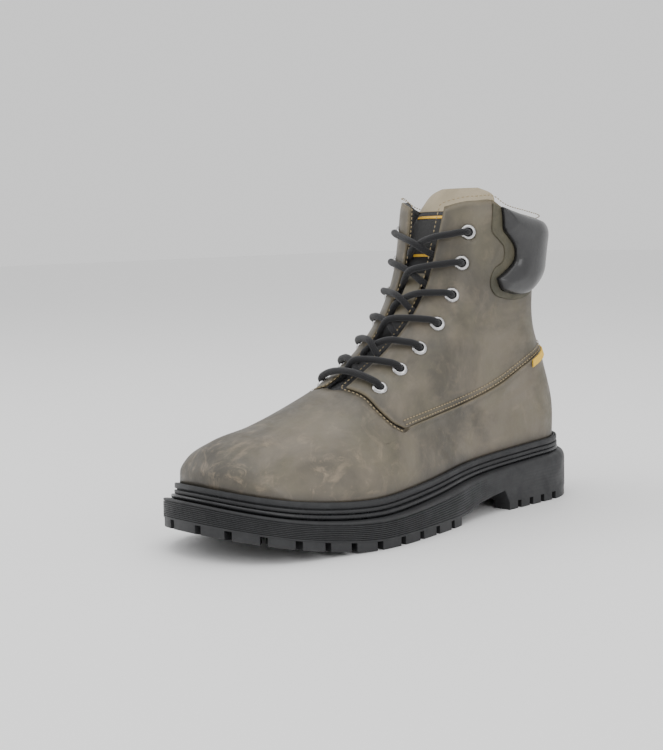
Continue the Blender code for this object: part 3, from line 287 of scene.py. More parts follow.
# Pattern lines: along as a share of the length, up as a share of the height
pattern = {
    "seam": (
        (0.070, 0.515), (0.108, 0.500), (0.190, 0.457), (0.268, 0.411), (0.350, 0.379),
        (0.428, 0.358), (0.510, 0.341), (0.593, 0.322),
    ),
    "flap": ((0.593, 0.322), (0.618, 0.345), (0.634, 0.385), (0.636, 0.420), (0.622, 0.446)),
    "collarFoot": (
        (0.070, 0.735), (0.1375, 0.726), (0.179, 0.700), (0.218, 0.697),
        (0.245, 0.704), (0.269, 0.714), (0.289, 0.753),
    ),
    "collarFront": (
        (0.289, 0.753), (0.265, 0.773), (0.247, 0.790), (0.233, 0.812), (0.233, 0.839),
        (0.243, 0.863), (0.260, 0.883), (0.280, 0.907), (0.285, 0.936), (0.291, 0.977),
    ),
    "top": (
        (0.375, 0.985), (0.362, 0.999), (0.348, 1.000), (0.312, 1.000), (0.292, 0.984),
        (0.193, 0.951), (0.109, 0.932), (0.070, 0.918),
    ),
    "throatUp": (0.446, 0.480, 0.530, 0.600, 0.700, 0.800, 0.900, 1.000),
    "throatHalf": (0.098, 0.088, 0.095, 0.107, 0.122, 0.122, 0.130, 0.150),
    "seamSteps": 90, "flapSteps": 30, "throatSteps": 6, "lowerSteps": 44, "topSteps": 40,
}
# Levels over the last's surface
wall = {"leather": 1.8 * mm, "gap": 0.3 * mm, "lining": 1.4 * mm, "seamRise": 0.9 * mm}
underLevel = wall["leather"] + wall["gap"]
wallDepth = underLevel + wall["lining"]
footGap = 0.3 * mm


def sharePoints(shares):
    points = np.array(shares, float)
    return points * (last["length"], last["height"])


def throatHalf(up):
    gap = smooth(up / last["height"], pattern["throatUp"], pattern["throatHalf"]) * last["ball"]
    run = runAt(up)
    across = np.linspace(0, 0.4 * last["ball"], 50)
    flatRun, flatAcross = np.meshgrid(run, across)
    reach = frontSheet(flatRun, flatAcross)[..., 0]
    reach = reach - reach[0]
    return np.array([np.interp(g, reach[:, k], across) for k, g in enumerate(gap)])


def frontEdge(ups, across=0.0):
    place, inward = frontFrame(runAt(ups))
    return place[:, :2] + inward * (place[:, 2] * (1 - quarterTurn) + across)[:, None]


def throatEdge(ups):
    return frontEdge(ups, throatHalf(ups))


def backEdge(low, high, steps):
    ups = np.linspace(low, high, 120)
    back, roll = backAt(ups)
    return evenly(np.stack([back + roll * (1 - quarterTurn), ups], axis=1), steps)


def coons(low, high, back, front):
    u = np.linspace(0, 1, len(low))[None, :, None]
    v = np.linspace(0, 1, len(back))[:, None, None]
    corners = low[0] * (1 - u) * (1 - v) + low[-1] * u * (1 - v) + high[0] * (1 - u) * v + high[-1] * u * v
    return low[None] * (1 - v) + high[None] * v + back[:, None] * (1 - u) + front[:, None] * u - corners


def startAtBack(shares):
    points = sharePoints(shares)
    points[0, 0] = backAt(points[:1, 1])[0][0]
    return flatten(points)


seamLine = smoothPath(startAtBack(pattern["seam"]), pattern["seamSteps"])
flapPoints = flatten(sharePoints(pattern["flap"]))
flapTop = pattern["flap"][-1][1] * last["height"]
flapPoints[-1] = throatEdge(np.array([flapTop]))[0]
flapLine = smoothPath(flapPoints, pattern["flapSteps"])
topPoints = startAtBack(pattern["top"][::-1])
topPoints[-1] = throatEdge(np.array([pattern["top"][0][1] * last["height"]]))[0]
topLine = smoothPath(topPoints, pattern["topSteps"])
throatLine = evenly(
    throatEdge(np.linspace(pattern["top"][0][1] * last["height"], flapTop, 120)),
    pattern["seamSteps"] - pattern["topSteps"],
)
throatFoot = frontEdge(np.array([flapTop - 0.006 * last["height"]]))[0]


def footLine(count):
    turn = np.linspace(0, math.pi, 400)
    heel = backAt(np.array([last["heelSeat"]]))[0][0]
    toe = np.interp(last["toeSeat"], frontLine[:, 1], frontLine[:, 0])
    along = heel + (toe - heel) * (1 - np.cos(turn)) / 2
    return evenly(flatten(np.stack([along, seatAt(along) + footGap], axis=1)), count)


def lowerPanel():
    bottom = np.linspace(0, 1, pattern["throatSteps"] + 1)[1:, None]
    high = np.concatenate([seamLine, flapLine[1:], flapLine[-1] * (1 - bottom) + throatFoot * bottom])
    foot = footLine(len(high) - 1)
    back = backEdge(foot[0, 1], seamLine[0, 1], pattern["lowerSteps"])
    ridge = np.linspace(last["toeSeat"] + footGap, flapTop - 0.006 * last["height"], 300)
    front = evenly(frontEdge(ridge), pattern["lowerSteps"])
    back[0], back[-1], front[0], front[-1] = foot[0], seamLine[0], foot[-1], throatFoot
    return coons(foot, high, back, front)


def shaftPanel():
    high = np.concatenate([topLine, throatLine[1:]])
    low = seamLine.copy()
    back = backEdge(low[0, 1], high[0, 1], pattern["flapSteps"])
    back[0], back[-1] = low[0], high[0]
    return coons(low, high, back, flapLine)


# Where the boot's own origin lies on the last
sole = {
    "reachToe": 9.8 * mm, "reachHeel": 8.2 * mm, "weltThickness": 5.5 * mm, "beadThickness": 2.8 * mm,
    "beadReach": 5.2 * mm, "treadDepth": 5.0 * mm, "archHeight": 13 * mm, "toeSpring": 16 * mm,
    "springStart": 0.72, "springEnd": 1.05, "lugLength": 13 * mm, "groove": 2.5 * mm, "innerBlock": 6.5 * mm,
    "breastFoot": 0.284, "breastTop": 0.298, "foreTread": 0.452, "notchWidth": 3.6 * mm,
    "heelNotches": (0.149, 0.184, 0.219, 0.254),
    "foreNotches": tuple(0.484 + 0.0486 * k for k in range(11)),
    "archShares": (0.0, 0.284, 0.298, 0.340, 0.384, 0.424, 0.452, 1.0),
    "archRise": (0.0, 0.0, 1.00, 0.78, 0.50, 0.12, 0.0, 0.0),
    "ribs": 8, "ribDepth": 0.55 * mm,
}


def edgeSides():
    turn = np.linspace(0, math.pi, 600)
    heel = backAt(np.array([last["heelSeat"]]))[0][0]
    toe = np.interp(last["toeSeat"], frontLine[:, 1], frontLine[:, 0])
    along = heel + (toe - heel) * (1 - np.cos(turn)) / 2
    sides = {}
    for side in (1, -1):
        line = onLast(along, seatAt(along), side)[:, :2]
        run = lengths(line)
        way = np.gradient(line, run, axis=0)
        out = np.stack([way[:, 1], -way[:, 0]], axis=1) * side
        out[0], out[-1] = (0, -1), (0, 1)
        sides[side] = (run / run[-1], line, out, run[-1])
    return sides


edge = edgeSides()


def soleRing(shares, reach, height):
    rings = []
    for side, at in ((1, shares), (-1, shares[::-1][1:-1])):
        share, line, out, _ = edge[side]
        spot = np.stack([np.interp(at, share, line[:, k]) for k in range(2)], axis=1)
        away = np.stack([np.interp(at, share, out[:, k]) for k in range(2)], axis=1)
        away /= np.linalg.norm(away, axis=1)[:, None]
        spot = spot + away * np.broadcast_to(reach(at), at.shape)[:, None]
        rings.append(np.column_stack([spot, height(at, spot[:, 1])]))
    return np.concatenate(rings)


def betweenEnds(heel, toe):
    return lambda share: smooth(share, (0.0, 0.30, 0.50, 1.0), (heel, heel, toe, toe))


def level(drop):
    return lambda share, along: seatAt(along) - drop


outline = soleRing(np.linspace(0, 1, 300), betweenEnds(sole["reachHeel"], sole["reachToe"]), level(0.0))
middle = (outline.min(0) + outline.max(0)) / 2


def toWorld(points):
    points = np.asarray(points, float)
    return np.stack([points[..., 0] - middle[0], middle[1] - points[..., 1], points[..., 2]], axis=-1)


# Meshes: a grid from the operator is laid over rows of points
def layGrid(bm, points, flat=None, extras=None):
    rows, cols = points.shape[:2]
    if not bm.loops.layers.uv.get("UVMap"):
        bm.loops.layers.uv.new("UVMap")
    for name in extras or {}:
        if not bm.verts.layers.float.get(name):
            bm.verts.layers.float.new(name)
    layers = {name: bm.verts.layers.float.get(name) for name in (extras or {})}
    uv = bm.loops.layers.uv.get("UVMap")
    before = set(bm.faces)
    made = bmesh.ops.create_grid(bm, x_segments=cols - 1, y_segments=rows - 1, size=0.5)["verts"]
    place = {}
    world = toWorld(points)
    for vert in made:
        i = round((vert.co.x + 0.5) * (cols - 1))
        j = round((vert.co.y + 0.5) * (rows - 1))
        place[vert] = (j, i)
        vert.co = world[j, i]
        for name, values in (extras or {}).items():
            vert[layers[name]] = float(values[j, i])
    faces = [face for face in bm.faces if face not in before]
    if flat is not None:
        for face in faces:
            for loop in face.loops:
                loop[uv].uv = flat[place[loop.vert]]
    return faces


def finish(name, bm, material, outward=None, smoothAngle=40.0, replaces=(), weld=0.01 * mm):
    bmesh.ops.remove_doubles(bm, verts=bm.verts, dist=weld)
    bmesh.ops.recalc_face_normals(bm, faces=bm.faces)
    if outward is not None:
        facing = sum(
            face.normal.dot(face.calc_center_median() - outward) * face.calc_area() for face in bm.faces)
        if facing < 0:
            bmesh.ops.reverse_faces(bm, faces=bm.faces)
    elif bm.calc_volume(signed=True) < 0:
        bmesh.ops.reverse_faces(bm, faces=bm.faces)
    lift = bm.verts.layers.float.get("lift")
    if lift:
        # each point rises over the last by its own height
        bm.normal_update()
        for vert, move in [(vert, vert.normal * vert[lift]) for vert in bm.verts]:
            vert.co += move
    mesh = bpy.data.meshes.new(name)
    bm.to_mesh(mesh)
    bm.free()
    mesh.materials.append(material)
    mesh.shade_smooth()
    if smoothAngle:
        mesh.set_sharp_from_angle(angle=math.radians(smoothAngle))
    piece = bpy.data.objects.new(name, mesh)
    bpy.context.scene.collection.objects.link(piece)
    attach(piece, "root")
    if replaces:
        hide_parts(*replaces)
    return piece


# Camera: fitted to the photo, the boot turned 43 degrees from its toe
camera = {
    "azimuth": 42.7, "elevation": 6.5, "distance": 0.8994, "roll": -0.9,
    "focal": 1416.0, "pan": -4.0, "tilt": 0.4, "target": (0.0, 0.100, 0.080),
    "width": 663, "height": 750, "sensor": 36.0,
}


def placeCamera():
    az, el = math.radians(camera["azimuth"]), math.radians(camera["elevation"])
    target = Vector(toWorld(camera["target"]))
    back = Vector((math.sin(az) * math.cos(el), -math.cos(az) * math.cos(el), math.sin(el)))
    right = Vector((math.cos(az), math.sin(az), 0.0))
    up = back.cross(right)
    pan, tilt = (math.tan(math.radians(camera[name])) for name in ("pan", "tilt"))
    turned = -back + right * pan + up * tilt
    turned.normalize()
    right = turned.cross(up).normalized()
    up = right.cross(turned)
    roll = math.radians(camera["roll"])
    right, up = right * math.cos(roll) + up * math.sin(roll), up * math.cos(roll) - right * math.sin(roll)
    made = bpy.data.objects.new("photoCamera", bpy.data.cameras.new("photoCamera"))
    bpy.context.scene.collection.objects.link(made)
    made.matrix_world = Matrix.Translation(target + back * camera["distance"]) @ Matrix(
        (right, up, -turned)).transposed().to_4x4()
    made.data.sensor_fit = "VERTICAL"
    made.data.sensor_height = camera["sensor"]
    made.data.lens = camera["focal"] / camera["height"] * camera["sensor"]
    made.data.clip_start = 0.01
    bpy.context.scene.camera = made


placeCamera()
print("stage: camera placed")


# Materials
class Finish:
    def __init__(self, name):
        self.material = bpy.data.materials.new(name)
        self.material.use_nodes = True
        self.nodes = self.material.node_tree.nodes
        self.links = self.material.node_tree.links
        self.shader = self.nodes["Principled BSDF"]
        self.coords = self.nodes.new("ShaderNodeTexCoord")

    def add(self, kind, inputs=None, **settings):
        node = self.nodes.new("ShaderNode" + kind)
        for key, value in settings.items():
            setattr(node, key, value)
        for key, value in (inputs or {}).items():
            if isinstance(value, bpy.types.NodeSocket):
                self.links.new(value, node.inputs[key])
            else:
                node.inputs[key].default_value = value
        return node

    def noise(self, scale, detail=4.0, rough=0.55, distortion=0.0, vector=None, stretch=None):
        vector = vector or self.coords.outputs["Object"]
        if stretch:
            vector = self.add("Mapping", {"Vector": vector, "Scale": stretch}).outputs["Vector"]
        values = {
            "Vector": vector, "Scale": scale, "Detail": detail, "Roughness": rough, "Distortion": distortion}
        return self.add("TexNoise", values).outputs["Fac"]

    def ramp(self, factor, low, high, lowValue=0.0, highValue=1.0):
        values = {0: factor, 1: low, 2: high, 3: lowValue, 4: highValue}
        return self.add("MapRange", values, interpolation_type="SMOOTHSTEP").outputs[0]

    def mix(self, factor, first, second, blend="MIX"):
        node = self.add("Mix", {0: factor, 6: first, 7: second}, data_type="RGBA", blend_type=blend)
        return node.outputs[2]

    def math(self, operation, first, second):
        return self.add("Math", {0: first, 1: second}, operation=operation).outputs[0]

    def attribute(self, name):
        return self.add("Attribute", attribute_name=name).outputs["Fac"]

    def bump(self, height, distance, strength=1.0, normal=None):
        values = {"Height": height, "Distance": distance, "Strength": strength}
        if normal:
            values["Normal"] = normal
        return self.add("Bump", values).outputs["Normal"]

    def wire(self, **sockets):
        for name, value in sockets.items():
            socket = self.shader.inputs[name.replace("_", " ")]
            if isinstance(value, bpy.types.NodeSocket):
                self.links.new(value, socket)
            else:
                socket.default_value = value
        return self.material


leatherTones = {
    # the near-black grey tone in this table is painted shade for stitch grooves and the joint over the welt
    "deep": (0.070, 0.062, 0.048, 1), "ground": (0.150, 0.128, 0.096, 1), "olive": (0.125, 0.112, 0.072, 1),
    "worn": (0.30, 0.235, 0.160, 1), "paintedShade": (0.045, 0.043, 0.040, 1), "cut": (0.14, 0.115, 0.07, 1),
    "grainScale": 900.0, "blotchScale": 16.0, "scuffScale": 70.0,
}


def waxedLeather(name, tones):
    f = Finish(name)
    blotch = f.ramp(f.noise(tones["blotchScale"], 5.0, 0.6, 0.6), 0.38, 0.66)
    cloud = f.ramp(f.noise(38.0, 6.0, 0.65, 0.4), 0.40, 0.68)
    colour = f.mix(blotch, tones["deep"], tones["ground"])
    colour = f.mix(f.math("MULTIPLY", cloud, 0.45), colour, tones["olive"])
    scuff = f.ramp(f.noise(tones["scuffScale"], 8.0, 0.72, 1.2), 0.50, 0.72)
    streak = f.ramp(f.noise(160.0, 4.0, 0.6, 0.0, stretch=(1.0, 0.25, 0.6)), 0.55, 0.75)
    marks = f.math("MAXIMUM", scuff, f.math("MULTIPLY", streak, 0.7))
    wear = f.math("MULTIPLY", marks, f.attribute("wear"))
    colour = f.mix(wear, colour, tones["worn"])
    # painted shade: darkens the leather toward near-black grey in stitch grooves and along the welt joint
    colour = f.mix(f.attribute("paintedShade"), colour, tones["paintedShade"])
    colour = f.mix(f.attribute("cut"), colour, tones["cut"])
    fine = f.noise(tones["grainScale"], 3.0, 0.6)
    pores = f.add("TexVoronoi", {"Vector": f.coords.outputs["Object"], "Scale": 620.0}).outputs["Distance"]
    rub = f.noise(240.0, 5.0, 0.65)
    normal = f.bump(rub, 0.00035, 0.30)
    normal = f.bump(pores, 0.00012, 0.30, normal)
    normal = f.bump(fine, 0.00010, 0.45, normal)
    rough = f.ramp(f.noise(55.0, 6.0, 0.7, 0.5), 0.35, 0.70, 0.40, 0.62)
    return f.wire(Base_Color=colour, Roughness=rough, Normal=normal, Specular_IOR_Level=0.45)


def rubber(name, tone, low, high, grain=1400.0):
    f = Finish(name)
    dust = f.ramp(f.noise(120.0, 6.0, 0.7, 0.8), 0.45, 0.80)
    colour = f.mix(f.math("MULTIPLY", dust, 0.5), (*tone, 1), (*[t * 1.9 for t in tone], 1))
    rough = f.ramp(f.noise(90.0, 5.0, 0.6), 0.35, 0.7, low, high)
    normal = f.bump(f.noise(grain, 2.0, 0.5), 0.00006, 0.5)
    return f.wire(Base_Color=colour, Roughness=rough, Normal=normal, Specular_IOR_Level=0.4)


def padLeather():
    f = Finish("collarLeather")
    grain = f.add("TexVoronoi", {"Vector": f.coords.outputs["Object"], "Scale": 900.0}).outputs["Distance"]
    tone = f.ramp(f.noise(60.0, 4.0, 0.6), 0.3, 0.7)
    colour = f.mix(tone, (0.010, 0.010, 0.011, 1), (0.020, 0.020, 0.021, 1))
    normal = f.bump(f.noise(160.0, 3.0, 0.5, 0.4), 0.0004, 0.25)
    normal = f.bump(grain, 0.00010, 0.45, normal)
    return f.wire(Base_Color=colour, Roughness=0.32, Normal=normal, Coat_Weight=0.25, Coat_Roughness=0.25)


def weave(name, tone, light, threads, roughness=0.85):
    # woven or braided cloth on the piece's own map, in metres
    f = Finish(name)
    uv = f.coords.outputs["UV"]
    split = f.add("SeparateXYZ", {"Vector": uv})
    rise = []
    for axis, phase in (("X", 0.0), ("Y", 1.57)):
        angle = f.math("ADD", f.math("MULTIPLY", split.outputs[axis], threads), phase)
        rise.append(f.math("SINE", angle, 0.0))
    height = f.math("MULTIPLY", rise[0], rise[1])
    tonal = f.ramp(height, -1.0, 1.0)
    patch = f.noise(110.0, 4.0, 0.6)
    colour = f.mix(tonal, (*tone, 1), (*light, 1))
    colour = f.mix(f.math("MULTIPLY", patch, 0.35), colour, (*tone, 1))
    return f.wire(
        Base_Color=colour, Roughness=roughness, Normal=f.bump(height, 0.00015, 0.8), Sheen_Weight=0.15,
        Specular_IOR_Level=0.3,
    )


def metal():
    f = Finish("nickel")
    dull = f.noise(700.0, 4.0, 0.6)
    colour = f.mix(dull, (0.42, 0.42, 0.43, 1), (0.66, 0.65, 0.64, 1))
    rough = f.ramp(f.noise(500.0, 3.0, 0.6), 0.3, 0.7, 0.18, 0.34)
    return f.wire(Base_Color=colour, Roughness=rough, Metallic=1.0, Normal=f.bump(dull, 0.00005, 0.2))


def plain(name, tone, roughness, grain, distance=0.0001):
    f = Finish(name)
    tonal = f.noise(260.0, 4.0, 0.6)
    colour = f.mix(tonal, (*[t * 0.75 for t in tone], 1), (*[t * 1.2 for t in tone], 1))
    normal = f.bump(f.noise(grain, 3.0, 0.6), distance, 0.5)
    return f.wire(Base_Color=colour, Roughness=roughness, Normal=normal)


leather = waxedLeather("waxedLeather", leatherTones)
strapLeather = waxedLeather(
    "strapLeather", dict(leatherTones, ground=(0.20, 0.17, 0.12, 1), deep=(0.12, 0.105, 0.07, 1)))
stripLeather = waxedLeather(
    "stripLeather", dict(leatherTones, ground=(0.075, 0.070, 0.045, 1), deep=(0.040, 0.037, 0.022, 1)))
domeLeather = waxedLeather("domeLeather", dict(
    leatherTones, ground=(0.36, 0.30, 0.20, 1), deep=(0.26, 0.215, 0.14, 1), olive=(0.33, 0.28, 0.18, 1)))
soleRubber = rubber("soleRubber", (0.020, 0.0205, 0.022), 0.48, 0.66)
beadRubber = rubber("beadRubber", (0.016, 0.0165, 0.018), 0.24, 0.36)
padFinish = padLeather()
liningCloth = weave("liningCloth", (0.010, 0.010, 0.011), (0.030, 0.030, 0.032), 5200.0)
laceCord = weave("laceCord", (0.006, 0.006, 0.007), (0.022, 0.022, 0.024), 4200.0)
labelCloth = weave("labelCloth", (0.010, 0.010, 0.010), (0.026, 0.026, 0.026), 7000.0)
tabCloth = weave("tabCloth", (0.62, 0.34, 0.02), (0.92, 0.58, 0.07), 6500.0)
nickel = metal()
threadKhaki = plain("khakiThread", (0.30, 0.235, 0.135), 0.75, 3500.0)
threadBlack = plain("blackThread", (0.012, 0.012, 0.012), 0.6, 3500.0)
pipingYellow = plain("yellowPiping", (0.70, 0.40, 0.03), 0.7, 2500.0)
insoleFinish = plain("insoleBoard", (0.030, 0.028, 0.026), 0.9, 1200.0)
print("stage: materials ready")

# The sole: rings of one loop, from the inside of the tread up its side
rims = {"around": 150, "bevel": 0.35 * mm}


def treadTop(share, along):
    arch = np.interp(share, sole["archShares"], sole["archRise"])
    start, end, floor = sole["springStart"], sole["springEnd"], sole["treadDepth"]
    spring = np.clip((along / last["length"] - start) / (end - start), 0, None)
    return floor + arch * (sole["archHeight"] - floor) + sole["toeSpring"] * spring**1.6


def soleStations():
    half = 0.5 * sole["notchWidth"] / edge[1][3]
    notches = np.array(sole["heelNotches"] + sole["foreNotches"])
    ends = [sole["breastFoot"], sole["breastTop"], sole["foreTread"]]
    fixed = np.concatenate([ends, notches - half, notches + half])
    even = np.linspace(0, 1, rims["around"] + 1)
    near = np.abs(even[:, None] - fixed[None]).min(1) < 0.0025
    near[0] = near[-1] = False
    return np.sort(np.concatenate([even[~near], fixed])), notches, half


def loopGrid(bm, rings):
    # rings of one closed loop: the last column repeats the first and is merged
    points = np.stack([np.concatenate([ring, ring[:1]]) for ring in rings])
    run = lengths(points[-1])
    up = np.concatenate([[0.0], np.cumsum(np.linalg.norm(np.diff(points[:, 0], axis=0), axis=1))])
    flat = np.stack(np.broadcast_arrays(run[None, :], up[:, None]), axis=-1)
    return layGrid(bm, points, flat)


def capRing(bm, ring):
    world = toWorld(ring)
    count = len(world)
    verts = [bm.verts.new(p) for p in world]
    for i in range(count // 2):
        corners = [verts[i], verts[i + 1], verts[(count - i - 1) % count], verts[(count - i) % count]]
        bm.faces.new(list(dict.fromkeys(corners)))


def outsole():
    shares, notches, half = soleStations()
    reach = betweenEnds(sole["reachHeel"], sole["reachToe"])
    drop = sole["weltThickness"] + sole["beadThickness"] + 2 * footGap

    def sideRing(height, insetToe, insetHeel):
        inset = betweenEnds(insetHeel, insetToe)
        topOf = level(drop)
        return soleRing(
            shares, lambda s: reach(s) - inset(s),
            lambda s, along: treadTop(s, along) * (1 - height) + topOf(s, along) * height)

    rings = []
    blockEdge = sole["lugLength"] + sole["groove"]
    for depth in (blockEdge + sole["innerBlock"], blockEdge, sole["lugLength"]):
        rings.append(soleRing(shares, lambda s, d=depth: reach(s) - d, treadTop))
    rings.append(sideRing(0.0, 0.5 * mm, 0.3 * mm))
    for rib in range(sole["ribs"]):
        base = 0.06 + 0.70 * rib / sole["ribs"]
        step = 0.70 / sole["ribs"]
        for share, depth in ((0.04, 0.0), (0.52, 0.0), (0.66, 1.0), (0.90, 1.0)):
            rings.append(sideRing(base + step * share, depth * sole["ribDepth"], 0.0))
    for height, insetToe, insetHeel in (
            (0.765, 0.0, 0.0), (0.80, 0.05, 0.0), (0.82, 0.75, 0.1), (0.845, 0.80, 0.2), (0.865, 0.30, 0.35),
            (0.90, 0.20, 0.65), (0.94, 0.35, 1.3), (0.97, 0.9, 2.3), (0.99, 1.5, 3.3), (1.00, 2.2, 4.2)):
        rings.append(sideRing(height, insetToe * mm, insetHeel * mm))
    bm = bmesh.new()
    faces = loopGrid(bm, rings)
    middles = (shares[1:] + shares[:-1]) / 2
    notched = (np.abs(middles[:, None] - notches[None]) < half).any(1)
    waist = (middles > sole["breastFoot"]) & (middles < sole["foreTread"])
    lugged = ~(notched | waist)
    outer = np.concatenate([lugged, lugged[::-1]])
    inner = outer & np.concatenate([middles > sole["foreTread"], (middles > sole["foreTread"])[::-1]])
    columns = len(outer)
    lugs = [faces[2 * columns + i] for i in range(columns) if outer[i]]
    lugs += [faces[i] for i in range(columns) if inner[i]]
    capRing(bm, rings[0])
    capRing(bm, rings[-1])
    bmesh.ops.remove_doubles(bm, verts=bm.verts, dist=0.01 * mm)
    lugs = [face for face in lugs if face.is_valid]
    moved = bmesh.ops.extrude_face_region(bm, geom=lugs)["geom"]
    bmesh.ops.delete(bm, geom=[face for face in lugs if face.is_valid], context="FACES")
    bmesh.ops.translate(
        bm, verts=[v for v in moved if isinstance(v, bmesh.types.BMVert)], vec=(0, 0, -sole["treadDepth"]))
    piece = finish(
        "outsoleRubber", bm, soleRubber, replaces=("outsole",), smoothAngle=32)
    soften = piece.modifiers.new("softEdges", "BEVEL")
    soften.width = rims["bevel"]
    soften.segments = 2
    soften.limit_method = "ANGLE"
    soften.angle_limit = math.radians(50)


def beadRing():
    shares = np.linspace(0, 1, rims["around"])
    top = sole["weltThickness"] + footGap
    low = top + sole["beadThickness"]
    reach = betweenEnds(sole["reachHeel"] - 4.6 * mm, sole["beadReach"])
    rings = [soleRing(shares, lambda s: reach(s) - 6 * mm, level(low))]
    for turn in np.linspace(-math.pi / 2, math.pi / 2, 9):
        rings.append(soleRing(
            shares, lambda s, t=turn: reach(s) - 1.5 * mm * (1 - math.cos(t)),
            level((top + low) / 2 - 0.5 * sole["beadThickness"] * math.sin(turn))))
    rings.append(soleRing(shares, lambda s: 0 * s - 8 * mm - footGap, level(top)))
    rings.append(soleRing(shares, lambda s: 0 * s - 8 * mm - footGap, level(0.0)))
    bm = bmesh.new()
    loopGrid(bm, rings)
    capRing(bm, rings[0])
    capRing(bm, rings[-1])
    finish("midsoleBead", bm, beadRubber, replaces=("midsole",), smoothAngle=50)


# Welt: reach past the upper and height over its foot, in millimetres
weltSection = (
    (-8.0, 0.0), (0.5, 0.0), (0.7, 0.6), (1.1, 0.95), (1.6, 0.85), (1.8, 0.35), (2.15, 0.30), (2.4, 0.75),
    (2.8, 0.6), (3.0, 0.0), (3.0, -2.0), (2.8, -2.4), (1.7, -2.6), (1.6, -3.1), (2.9, -3.35), (3.2, -3.7),
    (3.2, -5.2), (2.9, -5.5), (-8.0, -5.5),
)


def weltRing():
    shares = np.linspace(0, 1, rims["around"])
    rings = [
        soleRing(shares, lambda s, r=reach * mm: 0 * s + r, level(-height * mm)) for reach, height in weltSection]
    rings.append(rings[0])
    bm = bmesh.new()
    loopGrid(bm, rings)
    finish("weltRubber", bm, soleRubber, replaces=("welt",), smoothAngle=50)


outsole()
beadRing()
weltRing()
print("stage: sole ready")

# Creases and folds of the worn leather: troughs on the pattern (along, up), their depth and width
creases = (
    ("vampOne", ((0.700, 0.300), (0.690, 0.255), (0.700, 0.205)), 0.45 * mm, 4.0 * mm),
    ("vampTwo", ((0.735, 0.290), (0.722, 0.245), (0.728, 0.200)), 0.40 * mm, 3.6 * mm),
    ("vampThree", ((0.665, 0.330), (0.655, 0.285), (0.668, 0.240)), 0.35 * mm, 4.0 * mm),
    ("ankleOne", ((0.330, 0.560), (0.265, 0.545), (0.195, 0.580)), 0.7 * mm, 7.0 * mm),
    ("ankleTwo", ((0.400, 0.520), (0.330, 0.490), (0.260, 0.490)), 0.5 * mm, 6.0 * mm),
    ("ankleThree", ((0.350, 0.640), (0.290, 0.640), (0.215, 0.660)), 0.5 * mm, 6.0 * mm),
    ("heelOne", ((0.110, 0.440), (0.180, 0.400), (0.250, 0.370)), 0.3 * mm, 5.0 * mm),
)


def distanceTo(line, places):
    start, way = line[:-1], np.diff(line, axis=0)
    best = np.full(len(places), 1.0)
    for a, d in zip(start, way):
        t = np.clip(((places - a) * d).sum(1) / max((d * d).sum(), 1e-12), 0, 1)
        best = np.minimum(best, np.linalg.norm(places - a - d * t[:, None], axis=1))
    return best


def troughs(flat):
    places = flat.reshape(-1, 2)
    sunk = np.zeros(len(places))
    for _, line, depth, width in creases:
        path = smoothPath(sharePoints(line), 16)
        away = distanceTo(path, places)
        sunk -= depth * np.exp(-(away / (0.45 * width)) ** 2)
        sunk += 0.35 * depth * np.exp(-((away - 0.8 * width) / (0.4 * width)) ** 2)
    return sunk.reshape(flat.shape[:-1])


def bothSides(bm, flat, lift, ridge=False, extras=None):
    # lateral and medial halves of a pattern grid, to be raised by lift over the last
    values = dict(extras or {}, lift=np.broadcast_to(lift, flat.shape[:-1]))
    for side in (1, -1):
        points = rollUp(flat, side)
        for column in (0, -1) if ridge else (0,):
            points[:, column, 0] = centreAt(points[:, column, 1], points[:, column, 2])
        layGrid(bm, points, flat, values)


def thicken(piece, thickness, width=0.0):
    wallOf = piece.modifiers.new("leatherThickness", "SOLIDIFY")
    wallOf.thickness = thickness
    wallOf.offset = -1.0
    wallOf.use_even_offset = False
    if width:
        edgeOf = piece.modifiers.new("cutEdge", "BEVEL")
        edgeOf.width = width
        edgeOf.segments = 2
        edgeOf.limit_method = "ANGLE"
        edgeOf.angle_limit = math.radians(60)


def wearOf(flat, edges, reach=3.0 * mm):
    # worn along cut edges
    away = np.full(flat.shape[:-1], 1.0)
    for line in edges:
        away = np.minimum(away, distanceTo(line, flat.reshape(-1, 2)).reshape(away.shape))
    return 1 - softStep(away, 0.2 * mm, reach), away


def lowerLeather():
    flat = lowerPanel()
    rows, cols = flat.shape[:2]
    seamCols = pattern["seamSteps"]
    seamEdge, away = wearOf(flat, [seamLine])
    lift = wall["seamRise"] * (1 - softStep(away, 0.5 * mm, 9.0 * mm))
    under = np.concatenate([flapLine, flat[-1, seamCols + len(flapLine) - 1:]])
    flapAway = distanceTo(under, flat.reshape(-1, 2)).reshape(rows, cols)
    pastSeam = np.where(np.arange(cols) >= seamCols - 3, 1.0, 0.0)[None]
    dip = (1 - softStep(flapAway, 0.6 * mm, 5.0 * mm)) * pastSeam
    offset = lift * (1 - dip) - underLevel * dip + troughs(flat) * (1 - dip)
    offset[-1, seamCols:] = -underLevel
    # stitch groove along the seam
    offset -= 0.25 * mm * np.exp(-((away - 2.2 * mm) / (0.7 * mm)) ** 2) * (1 - dip)
    along, up = flat[..., 0] / last["length"], flat[..., 1] / last["height"]
    toe = softStep(along, 0.80, 1.02)
    ball = np.exp(-((along - 0.80) / 0.10) ** 2 - ((up - 0.19) / 0.12) ** 2)
    wear = np.clip(0.22 + 0.55 * ball + 0.65 * toe + 0.5 * seamEdge, 0, 1)
    # painted shade in the seam's stitch groove and along the joint over the welt; also darker towards the toe tip
    atStitches = 0.25 * np.exp(-((away - 2.2 * mm) / (2 * mm)) ** 2)
    paintedShade = np.clip(0.35 * softStep(along, 0.90, 1.03) + atStitches, 0, 0.6)
    overWelt = up * last["height"] - seatAt(flat[..., 0])
    paintedShade = np.maximum(paintedShade, 0.55 * (1 - softStep(overWelt, 0.0, 9 * mm)))
    bm = bmesh.new()
    looks = {"wear": wear, "paintedShade": paintedShade, "cut": 0.6 * (away < 0.7 * mm)}
    bothSides(bm, flat, offset, ridge=True, extras=looks)
    piece = finish(
        "lowerLeather", bm, leather, outward=Vector((0, -0.02, 0.05)), replaces=("upper",))
    thicken(piece, wall["leather"])


